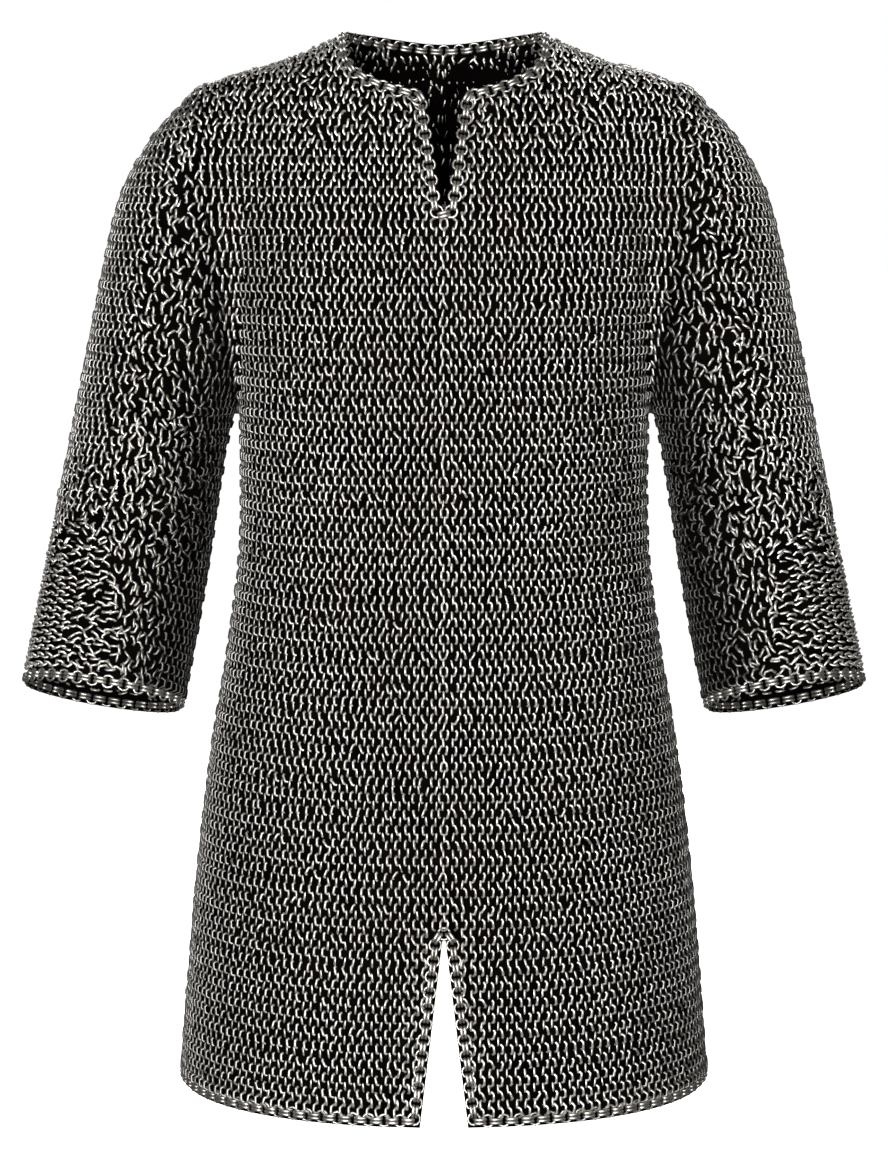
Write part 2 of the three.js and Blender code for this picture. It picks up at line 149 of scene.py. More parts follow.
class CutTable:
    """Sections of a tube of mail at given heights, joined by cubic curves."""

    def __init__(self, rows: tuple[tuple[float, ...], ...]) -> None:
        """Keeps the rows from the lowest up, with the curve's slope at each."""
        table = np.array(rows, dtype=float)[::-1]
        self.heights, self.values = table[:, 0], table[:, 1:]
        below = np.r_[0, np.arange(len(table) - 1)]
        above = np.r_[np.arange(1, len(table)), len(table) - 1]
        run = (self.heights[above] - self.heights[below])[:, None]
        self.slopes = (self.values[above] - self.values[below]) / run

    def at(self, z: Array) -> Array:
        """Columns of the table at heights z, as cubic Hermite curves through the rows.

        Args:
            z: Heights.

        Returns:
            An array with the table's columns on its first axis.
        """
        height = np.clip(z, self.heights[0], self.heights[-1])
        i = np.clip(np.searchsorted(self.heights, height, side="right") - 1, 0, len(self.heights) - 2)
        span = (self.heights[i + 1] - self.heights[i])[..., None]
        t = (height - self.heights[i])[..., None] / span
        low, high = self.values[i], self.values[i + 1]
        rise_low, rise_high = self.slopes[i] * span, self.slopes[i + 1] * span
        curve = (1 + 2 * t) * (1 - t) ** 2 * low + t * (1 - t) ** 2 * rise_low
        curve += t * t * (3 - 2 * t) * high + t * t * (t - 1) * rise_high
        return np.moveaxis(curve, -1, 0)


@dataclass(frozen=True)
class Slit:
    """An open slit with one round closed end. Half widths are given at that end and at the open one."""

    closed_z: float
    open_z: float
    closed_half: float
    open_half: float

    @property
    def way(self) -> float:
        """1 if the slit opens upwards and -1 if it opens downwards."""
        return math.copysign(1, self.open_z - self.closed_z)

    def half_at(self, z: Array) -> Array:
        """Half width of the slit: a quarter circle at the closed end, then straight sides.

        Args:
            z: Heights.

        Returns:
            Half widths at those heights.
        """
        length = abs(self.open_z - self.closed_z)
        run = np.clip(self.way * (z - self.closed_z), 0, length)
        round_end = np.sqrt(np.maximum(0, self.closed_half**2 - (self.closed_half - run) ** 2))
        share = (run - self.closed_half) / (length - self.closed_half)
        straight = self.closed_half + (self.open_half - self.closed_half) * share
        return np.where(run < self.closed_half, round_end, straight)

    def heights(self, round_steps: int, straight_steps: int) -> Array:
        """Heights from the closed end to the open one, close together round the end.

        Args:
            round_steps: Steps round the closed end.
            straight_steps: Steps along the straight sides.

        Returns:
            The heights.
        """
        turn = np.linspace(0, math.pi / 2, round_steps + 1)
        end = self.closed_z + self.way * self.closed_half * (1 - np.cos(turn))
        return np.r_[end, np.linspace(end[-1], self.open_z, straight_steps + 1)[1:]]


@dataclass(frozen=True)
class ShirtForm:
    """The middle surface of the whole shirt and the lines that cut it into panels, sleeves and edges."""

    trunk: CutTable = CutTable(TRUNK_CUT)
    sleeve: CutTable = CutTable(SLEEVE_CUT)
    shoulder_rounding: float = 30
    armpit_rounding: float = 18
    rounding_heights: tuple[float, float] = (-300, -80)
    armhole_top: tuple[float, float] = (230, -52)  # x and z of the armhole plane's ends
    armhole_low: tuple[float, float] = (195, -330)
    hem_z: float = -978
    neck_corner_x: float = 99
    neck_back_z: float = -17
    neck_front_power: float = 6
    neck_front_easing: float = 1.5  # above 1 for points closer together at the slit
    neck_slit: Slit = Slit(closed_z=-170, open_z=-62, closed_half=16, open_half=28.5)
    neck_slit_steps: tuple[int, int] = (6, 8)
    neck_steps: int = 16
    skirt_slit: Slit = Slit(closed_z=-806, open_z=-978, closed_half=15, open_half=34)
    cuff: tuple[float, float, float] = (316, -72, -594)  # middle of the lower edge
    cuff_lean: float = math.radians(9.5)
    cuff_forward: float = math.radians(18.5)
    pivot_inset: float = 1  # of the sleeve's fan of planes, from the armpit towards the middle
    pivot_drop: float = 14  # of the same point, below the armpit
    arm_across: float = 148  # width of the arm that the fan narrows to
    fan_narrowed: float = 0.8  # share of the fan by which it has done so
    arm_drop: float = 10  # of the first plane along the arm, below the armpit
    section_points: int = 145
    slope_step: float = 0.5
    settle_rounds: int = 4
    cast_rounds: int = 60
    cast_share: float = 0.9  # of the field's distance in each step of a ray
    beyond: float = 420  # start of a ray that comes back to the cloth from outside

    def field(self, points: Array) -> Array:
        """Roughly the distance from the middle surface, negative inside.

        The trunk is a superellipse at each height and a sleeve is an ellipse. Their fields run together with
        a polynomial smooth minimum, wide on the shoulder and tight in the armpit.

        Args:
            points: Points with x, y and z on the last axis.

        Returns:
            One number for each point.
        """
        x, y, z = np.abs(points[..., 0]), points[..., 1], points[..., 2]
        half_width, front, back, power = self.trunk.at(z)
        depth = np.where(y < 0, front, back)
        reach = ((x / half_width) ** power + (np.abs(y) / depth) ** power) ** (1 / power)
        trunk = (reach - 1) * np.minimum(half_width, depth)
        middle_x, middle_y, half_width, half_depth = self.sleeve.at(z)
        reach = np.hypot((x - middle_x) / half_width, (y - middle_y) / half_depth)
        sleeve = (reach - 1) * np.minimum(half_width, half_depth)
        sleeve = sleeve + np.maximum(0, z - self.sleeve.heights[-1])
        share = smooth_step(z, *self.rounding_heights)
        rounding = self.armpit_rounding + (self.shoulder_rounding - self.armpit_rounding) * share
        overlap = np.maximum(rounding - np.abs(trunk - sleeve), 0) / rounding
        return np.minimum(trunk, sleeve) - overlap**2 * rounding / 4

    def slope(self, points: Array) -> Array:
        """Steepest direction of the field, by differences of a small step each way."""
        steps = self.slope_step * np.eye(3)
        return np.stack([self.field(points + s) - self.field(points - s) for s in steps], axis=-1)

    def normal(self, points: Array) -> Array:
        """Outward unit normals of the cloth."""
        return unit(self.slope(points))

    def settle(self, points: Array) -> Array:
        """Brings points to the middle surface by Newton steps down the field's slope.

        Args:
            points: Points near the surface.

        Returns:
            Points on the surface.
        """
        for _ in range(self.settle_rounds):
            slope = self.slope(points)
            points = points - slope * (self.field(points) / np.sum(slope**2, axis=-1))[..., None]
        return points

    def cast(self, origins: Array, directions: Array, start: float = 0) -> Array:
        """Where rays from inside the shirt meet its middle surface, by steps of most of the field's distance.

        Args:
            origins: Points inside the shirt.
            directions: Directions of any length, one for each origin.
            start: Distance of the first step along the ray. From beyond the cloth, the steps come back.

        Returns:
            One point on the surface for each ray.
        """
        ways = unit(np.broadcast_to(directions, np.broadcast_shapes(origins.shape, directions.shape)))
        points = origins + ways * start
        for _ in range(self.cast_rounds):
            points = points - self.cast_share * self.field(points)[..., None] * ways
        return points

    @property
    def armhole_tilt(self) -> float:
        """How far the armhole plane moves out for each millimetre up."""
        return (self.armhole_top[0] - self.armhole_low[0]) / (self.armhole_top[1] - self.armhole_low[1])

    @property
    def armhole_middle(self) -> Array:
        """Middle of the armhole plane."""
        (top_x, top_z), (low_x, low_z) = self.armhole_top, self.armhole_low
        return np.array([(top_x + low_x) / 2, 0, (top_z + low_z) / 2])

    @property
    def armpit(self) -> Array:
        """Lowest point of the armhole."""
        return self.cast(self.armhole_middle, np.array([-self.armhole_tilt, 0, -1.0]))

    def armhole_x(self, z: Array) -> Array:
        """Distance of the armhole plane from the middle at heights z."""
        return self.armhole_low[0] + self.armhole_tilt * (z - self.armhole_low[1])

    def past_armhole(self, points: Array) -> Array:
        """Whether points of the cloth belong to a sleeve."""
        x, z = np.abs(points[..., 0]), points[..., 2]
        return (z > self.armpit[2]) & (x > self.armhole_x(z))

    def fan_angle(self, z: Array, face: Face) -> Array:
        """Angle, about the line that joins the armpits, of the middle of a panel.

        Args:
            z: Heights on the middle of the panel.
            face: Front or back.

        Returns:
            Angles above level.
        """
        middle = self.cast(np.stack([z * 0, z * 0, z], axis=-1), np.array([0, face.value, 0.0]))
        return np.arctan2(z - self.armpit[2], np.abs(middle[..., 1]))

    def neck_rows(self, face: Face, steps: int) -> tuple[Array, Array]:
        """Fan angles and half widths of the neck edge, from its lowest point to the shoulder ridge.

        In front, above the slit, the width grows as 1 - (1 - share) ^ power with the share of the angle, so
        the edge rises gently and then steeply. Behind, from the middle, the edge is a quarter of an oval in
        angle and width.

        Args:
            face: Front or back.
            steps: Number of steps along the edge, above the slit in front.

        Returns:
            Angles and half widths.
        """
        if face is Face.FRONT:
            heights = self.neck_slit.heights(*self.neck_slit_steps)
            angles, halves = self.fan_angle(heights, face), self.neck_slit.half_at(heights)
            shares = np.linspace(0, 1, steps + 1)[1:] ** self.neck_front_easing
            widths = 1 - (1 - shares) ** self.neck_front_power
        else:
            angles, halves = self.fan_angle(np.array([self.neck_back_z]), face), np.zeros(1)
            turn = np.linspace(0, math.pi / 2, steps + 1)[1:]
            shares, widths = 1 - np.cos(turn), np.sin(turn)
        above_angles = angles[-1] + (math.pi / 2 - angles[-1]) * shares
        above_halves = halves[-1] + (self.neck_corner_x - halves[-1]) * widths
        return np.r_[angles, above_angles], np.r_[halves, above_halves]

    def fan_points(self, angles: Array, x: Array, face: Face) -> Array:
        """Points of the cloth on planes through the armpits' line.

        Args:
            angles: Angles of the planes, 0 level and a right angle on the shoulder ridge.
            x: Distances from the middle, of the same shape.
            face: Front or back.

        Returns:
            Points on the surface.
        """
        level = np.full_like(x, self.armpit[2])
        ways = np.stack([x * 0, face.value * np.cos(angles), np.sin(angles)], axis=-1)
        return self.cast(np.stack([x, x * 0, level], axis=-1), ways, self.beyond)

    def neck_edge(self, face: Face) -> Array:
        """The +X half of the neck edge on one face, from its lowest point to the shoulder ridge."""
        return self.fan_points(*self.neck_rows(face, self.neck_steps), face)

    def level_points(self, z: Array, x: Array, face: Face) -> Array:
        """Points of the cloth on level rays towards the trunk's own section.

        Args:
            z: Heights.
            x: Distances from the middle that the rays aim at, of the same shape.
            face: Front or back.

        Returns:
            Points on the surface.
        """
        half_width, front, back, power = self.trunk.at(z)
        depth = front if face is Face.FRONT else back
        fullness = np.maximum(0, 1 - (x / half_width) ** power) ** (1 / power)
        ways = np.stack([x, face.value * depth * fullness, x * 0], axis=-1)
        return self.cast(np.stack([z * 0, z * 0, z], axis=-1), ways)

    def sleeve_planes(self, fan: int, arm: int) -> tuple[Array, Array, Array]:
        """Planes across the +X sleeve: a fan over the shoulder, about the armpit, then along the arm.

        Args:
            fan: Number of planes over the shoulder.
            arm: Number of planes along the arm.

        Returns:
            Middles, outward directions and forward directions.
        """
        pit = self.armpit
        pivot = pit - np.array([self.pivot_inset, 0, self.pivot_drop])
        start_angle = math.atan2(1, self.armhole_tilt)
        share = np.linspace(0, 1, fan)
        angle = start_angle + (self.cuff_lean - start_angle) * share
        outward = np.stack([np.cos(angle), angle * 0, np.sin(angle)], axis=-1)
        tall = self.armhole_top[1] - self.armhole_low[1]
        wide = tall + (self.arm_across - tall) * smooth_step(share, 0, self.fan_narrowed)
        reach = self.pivot_drop + wide / 2
        forward = np.tile([0, -1.0, 0], (fan, 1))
        share = np.linspace(0, 1, arm)
        z = pit[2] - self.arm_drop + (self.cuff[2] - pit[2] + self.arm_drop) * share
        middle_x, middle_y, _, _ = self.sleeve.at(z)
        middle = np.stack([middle_x, middle_y, z], axis=-1)
        middle[-1] = self.cuff
        tilt = self.cuff_forward * share
        arm_forward = np.stack([tilt * 0, -np.cos(tilt), np.sin(tilt)], axis=-1)
        return (
            np.concatenate([pivot + outward * reach[:, None], middle]),
            np.concatenate([outward, np.tile(outward[-1], (arm, 1))]),
            np.concatenate([forward, arm_forward]),
        )

    def sleeve_sections(self, fan: int, arm: int, shares: Array) -> Array:
        """Closed sections of the +X sleeve with points at equal shares of the way round.

        Args:
            fan: Number of sections over the shoulder.
            arm: Number of sections along the arm.
            shares: Shares of the way round, 0 and 1 on the outside, 0.5 under the arm.

        Returns:
            Points by section and by share.
        """
        middle, outward, forward = self.sleeve_planes(fan, arm)
        turn = np.linspace(0, 2 * math.pi, self.section_points)
        ways = outward[:, None] * np.cos(turn)[:, None] + forward[:, None] * np.sin(turn)[:, None]
        dense = self.cast(middle[:, None], ways)
        half = len(turn) // 2
        rows = []
        for ring in dense:
            length = arc_length(ring)
            share = np.where(turn <= math.pi, length / length[half], 1) / 2
            share += np.where(turn > math.pi, (length - length[half]) / (length[-1] - length[half]), 0) / 2
            rows.append(along_line(ring, share, shares))
        return np.array(rows)


def mirrored(points: Array) -> Array:
    """Points or directions reflected to the other side of the shirt."""
    return points * np.array([-1.0, 1.0, 1.0])


@dataclass
class Weave:
    """Places of many rings: the point under each one's raised edge, the direction of its row away from the
    row's start, and the row's number. Odd rows are the under rows.
    """

    edges: Array
    along: Array
    row: Array

    @property
    def under(self) -> Array:
        """Whether each ring belongs to an under row."""
        return self.row % 2 == 1

    def mirror(self) -> "Weave":
        """The same rings on the other side of the shirt."""
        return Weave(mirrored(self.edges), mirrored(self.along), self.row)

    def only(self, keep: Array) -> "Weave":
        """The rings chosen by a mask."""
        return Weave(self.edges[keep], self.along[keep], self.row[keep])

    @staticmethod
    def joined(parts: list["Weave"]) -> "Weave":
        """Several sets of rings as one."""
        keys = ("edges", "along", "row")
        return Weave(*(np.concatenate([getattr(part, key) for part in parts]) for key in keys))


@dataclass(frozen=True)
class RingPattern:
    """The four-in-one weave: every ring holds four others, and rows lean to either side in turn."""

    radius: float = 5.5  # of the wire's middle line
    wire: float = 1.32  # radius of the wire
    upper_segments: int = 6
    under_segments: int = 5
    sides: int = 3
    lean: float = math.radians(58)
    pitch: float = 7.9  # between the rings of a row
    skirt_pitch: float = 8.3
    skirt_heights: tuple[float, float] = (-480, -960)  # between which the pitch grows to the skirt's
    row_pitch: float = 7.2
    under_shift: float = -1.2  # of under rings along their row
    recess: float = 0.6  # of under rings on sleeves and collar
    trunk_recess: float = 1.65
    trunk_edge: tuple[float, float] = (180, 240)  # x between which the trunk's recess gives way
    slack_cycle: int = 4  # rows from one slack row to the next
    slack_recess: float = 0.5
    slack_disorder: float = 2.0
    collar: tuple[float, float] = (-75, -125)  # heights between which the crooked collar ends in front
    nape: tuple[float, float] = (-210, -260)  # the same behind
    edge_margin: float = 0.5
    edge_reach: float = 1.5
    wander: float = 0.4
    unevenness: float = 0.3
    sinking: float = 0.4
    tumble: float = math.radians(7)
    lean_tumble: float = math.radians(2.8)

    def pitch_at(self, z: float) -> float:
        """Distance between rings of a row at height z: the skirt's rows are drawn wider by their weight."""
        return self.pitch + (self.skirt_pitch - self.pitch) * float(smooth_step(z, *self.skirt_heights))

    def below_collar(self, points: Array) -> Array:
        """0 round the neck, where the mail is drawn crooked, and 1 from there down. It ends lower behind."""
        _, y, z = points.T
        return np.where(y > 0, smooth_step(z, *self.nape), smooth_step(z, *self.collar))

    def recess_at(self, points: Array) -> Array:
        """How deep the rows of under rings lie: deepest on the trunk, where the mail hangs flat."""
        flat = (1 - smooth_step(np.abs(points[:, 0]), *self.trunk_edge)) * self.below_collar(points)
        return self.recess + (self.trunk_recess - self.recess) * flat

    def slack(self, row: Array) -> Array:
        """Whether a ring belongs to a slack row: every other upper row lies deeper and less neatly."""
        return row % self.slack_cycle == self.slack_cycle // 2


def torus_arrays(
    middles: Array,
    first: Array,
    second: Array,
    radius: float,
    wire: float,
    segments: int,
    sides: int,
    flatness: float = 1,
    power: float = 1,
) -> tuple[Array, Array]:
    """Vertices and quads of many equal rings of wire.

    A vertex is middle + radius (c first + flatness s second) + wire cos b (cos a first + sin a second)
    + wire sin b (first x second), for the angle a round the ring, from half a step past the first vector,
    and the angle b round its wire. c and s are the cosine and sine of a to the power, with signs kept.

    Args:
        middles: Middles of the rings.
        first: Unit vectors in each ring's plane.
        second: Unit vectors in each ring's plane, square to the first.
        radius: Radius of the wire's middle line.
        wire: Radius of the wire.
        segments: Steps round the ring.
        sides: Sides of the wire.
        flatness: Width of the ring along the second vector, as a share of its width along the first.
        power: Less than 1 for a ring with straighter sides.

    Returns:
        Vertices and faces.
    """
    a = (np.arange(segments) + 0.5) * (2 * math.pi / segments)
    b = np.arange(sides) * (2 * math.pi / sides)
    cosine, sine = np.cos(a)[:, None], np.sin(a)[:, None]
    along_first = radius * np.sign(cosine) * np.abs(cosine) ** power + wire * np.cos(b) * cosine
    along_second = radius * flatness * np.sign(sine) * np.abs(sine) ** power + wire * np.cos(b) * sine
    axis = np.cross(first, second)[:, None, None]
    vertices = middles[:, None, None] + along_first[:, :, None] * first[:, None, None]
    vertices = vertices + along_second[:, :, None] * second[:, None, None]
    vertices = vertices + (wire * np.sin(b))[:, None] * axis
    i, k = np.meshgrid(np.arange(segments), np.arange(sides), indexing="ij")
    i_next, k_next = (i + 1) % segments, (k + 1) % sides
    corners = ((i, k), (i_next, k), (i_next, k_next), (i, k_next))
    quad = np.stack([step * sides + side for step, side in corners], axis=-1)
    quads = quad.reshape(1, -1, 4) + (np.arange(len(middles)) * segments * sides)[:, None, None]
    return vertices.reshape(-1, 3), quads.reshape(-1, 4)


def grid_faces(rows: int, columns: int, ring: bool = False) -> Array:
    """Quads of a grid of points.

    Args:
        rows: Number of rows.
        columns: Number of points in each row.
        ring: Whether each row is closed round.

    Returns:
        Indices of each quad's corners.
    """
    i, j = np.meshgrid(np.arange(columns if ring else columns - 1), np.arange(rows - 1))
    i_next = (i + 1) % columns
    corners = ((j, i), (j, i_next), (j + 1, i_next), (j + 1, i))
    return np.stack([row * columns + column for row, column in corners], axis=-1).reshape(-1, 4)


def mesh_object(
    name: str, vertices: Array, faces: Array, material: bpy.types.Material, tone_and_painted_shading: Array | None = None
) -> bpy.types.Object:
    """A smooth-shaded object of quads at the origin.

    Args:
        name: Name of the object and its mesh.
        vertices: Points in millimetres.
        faces: Indices of each quad's corners.
        material: Its finish.
        tone_and_painted_shading: For steel, the share of its colour kept at each vertex, 1 for the front of
            the trunk: painted shade on the rings, an even tone on the chains.

    Returns:
        The object, linked to the scene.
    """
    mesh = bpy.data.meshes.new(name)
    mesh.vertices.add(len(vertices))
    mesh.vertices.foreach_set("co", (vertices * METRES).astype(np.float32).ravel())
    mesh.loops.add(faces.size)
    mesh.loops.foreach_set("vertex_index", faces.astype(np.int32).ravel())
    mesh.polygons.add(len(faces))
    mesh.polygons.foreach_set("loop_start", np.arange(0, faces.size, 4, dtype=np.int32))
    mesh.polygons.foreach_set("use_smooth", np.ones(len(faces), dtype=bool))
    mesh.materials.append(material)
    if tone_and_painted_shading is not None:
        # Painted shade: the share of the steel's colour kept at each vertex, stored as an attribute for the
        # material.
        tone_and_shading_attribute = mesh.attributes.new("tone_and_painted_shading", "FLOAT", "POINT")
        tone_and_shading_attribute.data.foreach_set("value", tone_and_painted_shading.astype(np.float32))
    mesh.update(calc_edges=True)
    made = bpy.data.objects.new(name, mesh)
    bpy.context.collection.objects.link(made)
    return made


class Value:
    """A number in a material's nodes. Sums of such numbers add Math nodes."""

    def __init__(self, paint: "Paint", socket: bpy.types.NodeSocket) -> None:
        """Wraps an output socket of a paint's nodes."""
        self.paint, self.socket = paint, socket

    def _math(self, operation: str, a: object, b: object) -> "Value":
        """The result of one Math node."""
        node = self.paint.node("ShaderNodeMath", {"operation": operation}, {0: a, 1: b})
        return Value(self.paint, node.outputs[0])

    def __add__(self, other: object) -> "Value":
        """Sum."""
        return self._math("ADD", self, other)

    __radd__ = __add__

    def __sub__(self, other: object) -> "Value":
        """Difference."""
        return self._math("SUBTRACT", self, other)

    def __rsub__(self, other: object) -> "Value":
        """Difference from a number."""
        return self._math("SUBTRACT", other, self)

    def __mul__(self, other: object) -> "Value":
        """Product."""
        return self._math("MULTIPLY", self, other)

    __rmul__ = __mul__


class Paint:
    """One material and its nodes."""

    def __init__(self, name: str) -> None:
        """Starts from a new material's principled shader."""
        self.material = bpy.data.materials.new(name)
        self.material.use_nodes = True
        self.tree = self.material.node_tree
        self.shader = self.tree.nodes["Principled BSDF"]

    def node(
        self, kind: str, settings: dict | None = None, sockets: dict | None = None
    ) -> bpy.types.Node:
        """Adds a node.

        Args:
            kind: Blender's name of the node's type.
            settings: Properties, set first. A ramp's stops are a list of place and colour.
            sockets: Values or links of its inputs, by name or number.

        Returns:
            The node.
        """
        made = self.tree.nodes.new(kind)
        for key, value in (settings or {}).items():
            if key == "stops":
                for element, (place, colour) in zip(made.color_ramp.elements, value):
                    element.position, element.color = place, (*colour, 1)
            else:
                setattr(made, key, value)
        for key, value in (sockets or {}).items():
            self.feed(made.inputs[key], value)
        return made

    def feed(self, socket: bpy.types.NodeSocket, value: object) -> None:
        """Links a value or socket to an input, or sets a constant on it.

        Args:
            socket: The input.
            value: What it gets.
        """
        if isinstance(value, Value):
            value = value.socket
        if isinstance(value, bpy.types.NodeSocket):
            self.tree.links.new(value, socket)
        else:
            socket.default_value = value

    def set(self, **inputs: object) -> "Paint":
        """Feeds the shader's inputs.

        Args:
            inputs: Values or links, by the inputs' names in small letters with underscores for spaces.

        Returns:
            The same paint.
        """
        for key, value in inputs.items():
            self.feed(self.shader.inputs[key.replace("_", " ").title().replace("Ior", "IOR")], value)
        return self

    def noise(self, scale: float, detail: float = 2.0) -> Value:
        """Cloudy numbers from 0 to 1 over the object.

        Args:
            scale: Clouds to the metre.
            detail: How ragged the clouds are.

        Returns:
            The numbers.
        """
        place = self.node("ShaderNodeTexCoord").outputs["Object"]
        made = self.node("ShaderNodeTexNoise", None, {"Vector": place, "Scale": scale, "Detail": detail})
        return Value(self, made.outputs["Fac"])


@dataclass(frozen=True)
class SteelFinish:
    """Bare steel wire, dulled unevenly from ring to ring, with painted shade: darker where its vertex
    attribute is lower.
    """

    name: str
    bright: tuple[float, float, float]
    dull: tuple[float, float, float]
    roughness: float
    roughness_spread: float
    ring_scale: float = 90
    patch_scale: float = 9
    ring_share: float = 0.6
    stops: tuple[float, float] = (0.36, 0.62)

    def make(self) -> bpy.types.Material:
        """Mixes two colours by clouds the size of a ring and of a hand, dimmed by the painted shading
        attribute.

        Returns:
            The material.
        """
        paint = Paint(self.name)
        tone = paint.noise(self.ring_scale, 1) * self.ring_share
        tone = tone + paint.noise(self.patch_scale) * (1 - self.ring_share)
        stops = list(zip(self.stops, (self.dull, self.bright)))
        ramp = paint.node("ShaderNodeValToRGB", {"stops": stops}, {"Fac": tone})
        # Painted shade: the attribute darkens the steel's colour where shade is painted on the rings.
        tone_and_painted_shading = paint.node("ShaderNodeAttribute", {"attribute_name": "tone_and_painted_shading"}).outputs["Color"]
        colour = paint.node(
            "ShaderNodeMix",
            {"data_type": "RGBA", "blend_type": "MULTIPLY"},
            {0: 1.0, 6: ramp.outputs["Color"], 7: tone_and_painted_shading},
        )
        roughness = (1 - tone) * self.roughness_spread + self.roughness
        paint.set(base_color=colour.outputs[2], metallic=1.0, roughness=roughness)
        return paint.material


MAIL_STEEL = SteelFinish(
    name="mail_steel",
    bright=(0.72, 0.70, 0.665),
    dull=(0.50, 0.48, 0.44),
    roughness=0.46,
    roughness_spread=0.14,
)
CHAIN_STEEL = SteelFinish(
    name="chain_steel",
    bright=(0.70, 0.68, 0.64),
    dull=(0.46, 0.44, 0.40),
    roughness=0.34,
    roughness_spread=0.16,
)


@dataclass(frozen=True)
class PaintedShadowFinish:
    """Painted shadow: the near-black sheet between and behind the rings, standing for the weave's shaded
    depth, which lets no light through.
    """

    name: str = "weave_depth"
    dark: tuple[float, float, float] = (0.0007, 0.0005, 0.0005)
    light: tuple[float, float, float] = (0.0017, 0.0013, 0.0012)
    stops: tuple[float, float] = (0.35, 0.7)
    cloud_scale: float = 30
    roughness: float = 0.95

    def make(self) -> bpy.types.Material:
        """Painted shadow: near black without gloss, a little browner in clouds.

        Returns:
            The material.
        """
        paint = Paint(self.name)
        stops = list(zip(self.stops, (self.dark, self.light)))
        ramp = paint.node("ShaderNodeValToRGB", {"stops": stops}, {"Fac": paint.noise(self.cloud_scale)})
        paint.set(base_color=ramp.outputs["Color"], roughness=self.roughness, specular_ior_level=0.0)
        return paint.material


@dataclass(frozen=True)
class Finishes:
    """The materials of the shirt."""

    mail: bpy.types.Material
    chain: bpy.types.Material
    # Near-black painted shadow of the sheet behind the rings.
    depth: bpy.types.Material

    @staticmethod
    def make() -> "Finishes":
        """All of them."""
        return Finishes(
            mail=MAIL_STEEL.make(),
            chain=CHAIN_STEEL.make(),
            depth=PaintedShadowFinish().make(),
        )


def row_weave(line: Array, at: Array, row: int) -> Weave:
    """Rings along one row, each with the direction between points a millimetre before it and past it.

    Args:
        line: Points of the row's line.
        at: Distances of the rings along the line.
        row: Number of the row.

    Returns:
        The rings, on the line.
    """
    length = arc_length(line)
    ways = along_line(line, length, at + 1) - along_line(line, length, at - 1)
    return Weave(along_line(line, length, at), unit(ways), np.full(len(at), row))


def eased_row(line: Array, pitch: float, row: int, first: int = 0, last: int = 1) -> Weave:
    """Rings along a whole line, from its start in odd rows and half a pitch on in even ones, eased to fit.

    Args:
        line: Points of the row's line.
        pitch: Distance between rings, before easing.
        row: Number of the row.
        first: 1 to leave out an odd row's ring on the line's start.
        last: 0 to leave out an odd row's ring on the line's end.

    Returns:
        The rings, on the line.
    """
    whole = arc_length(line)[-1]
    steps = max(1, round(whole / pitch))
    places = np.arange(first, steps + last) if row % 2 else np.arange(steps) + 0.5
    return row_weave(line, places * whole / steps, row)


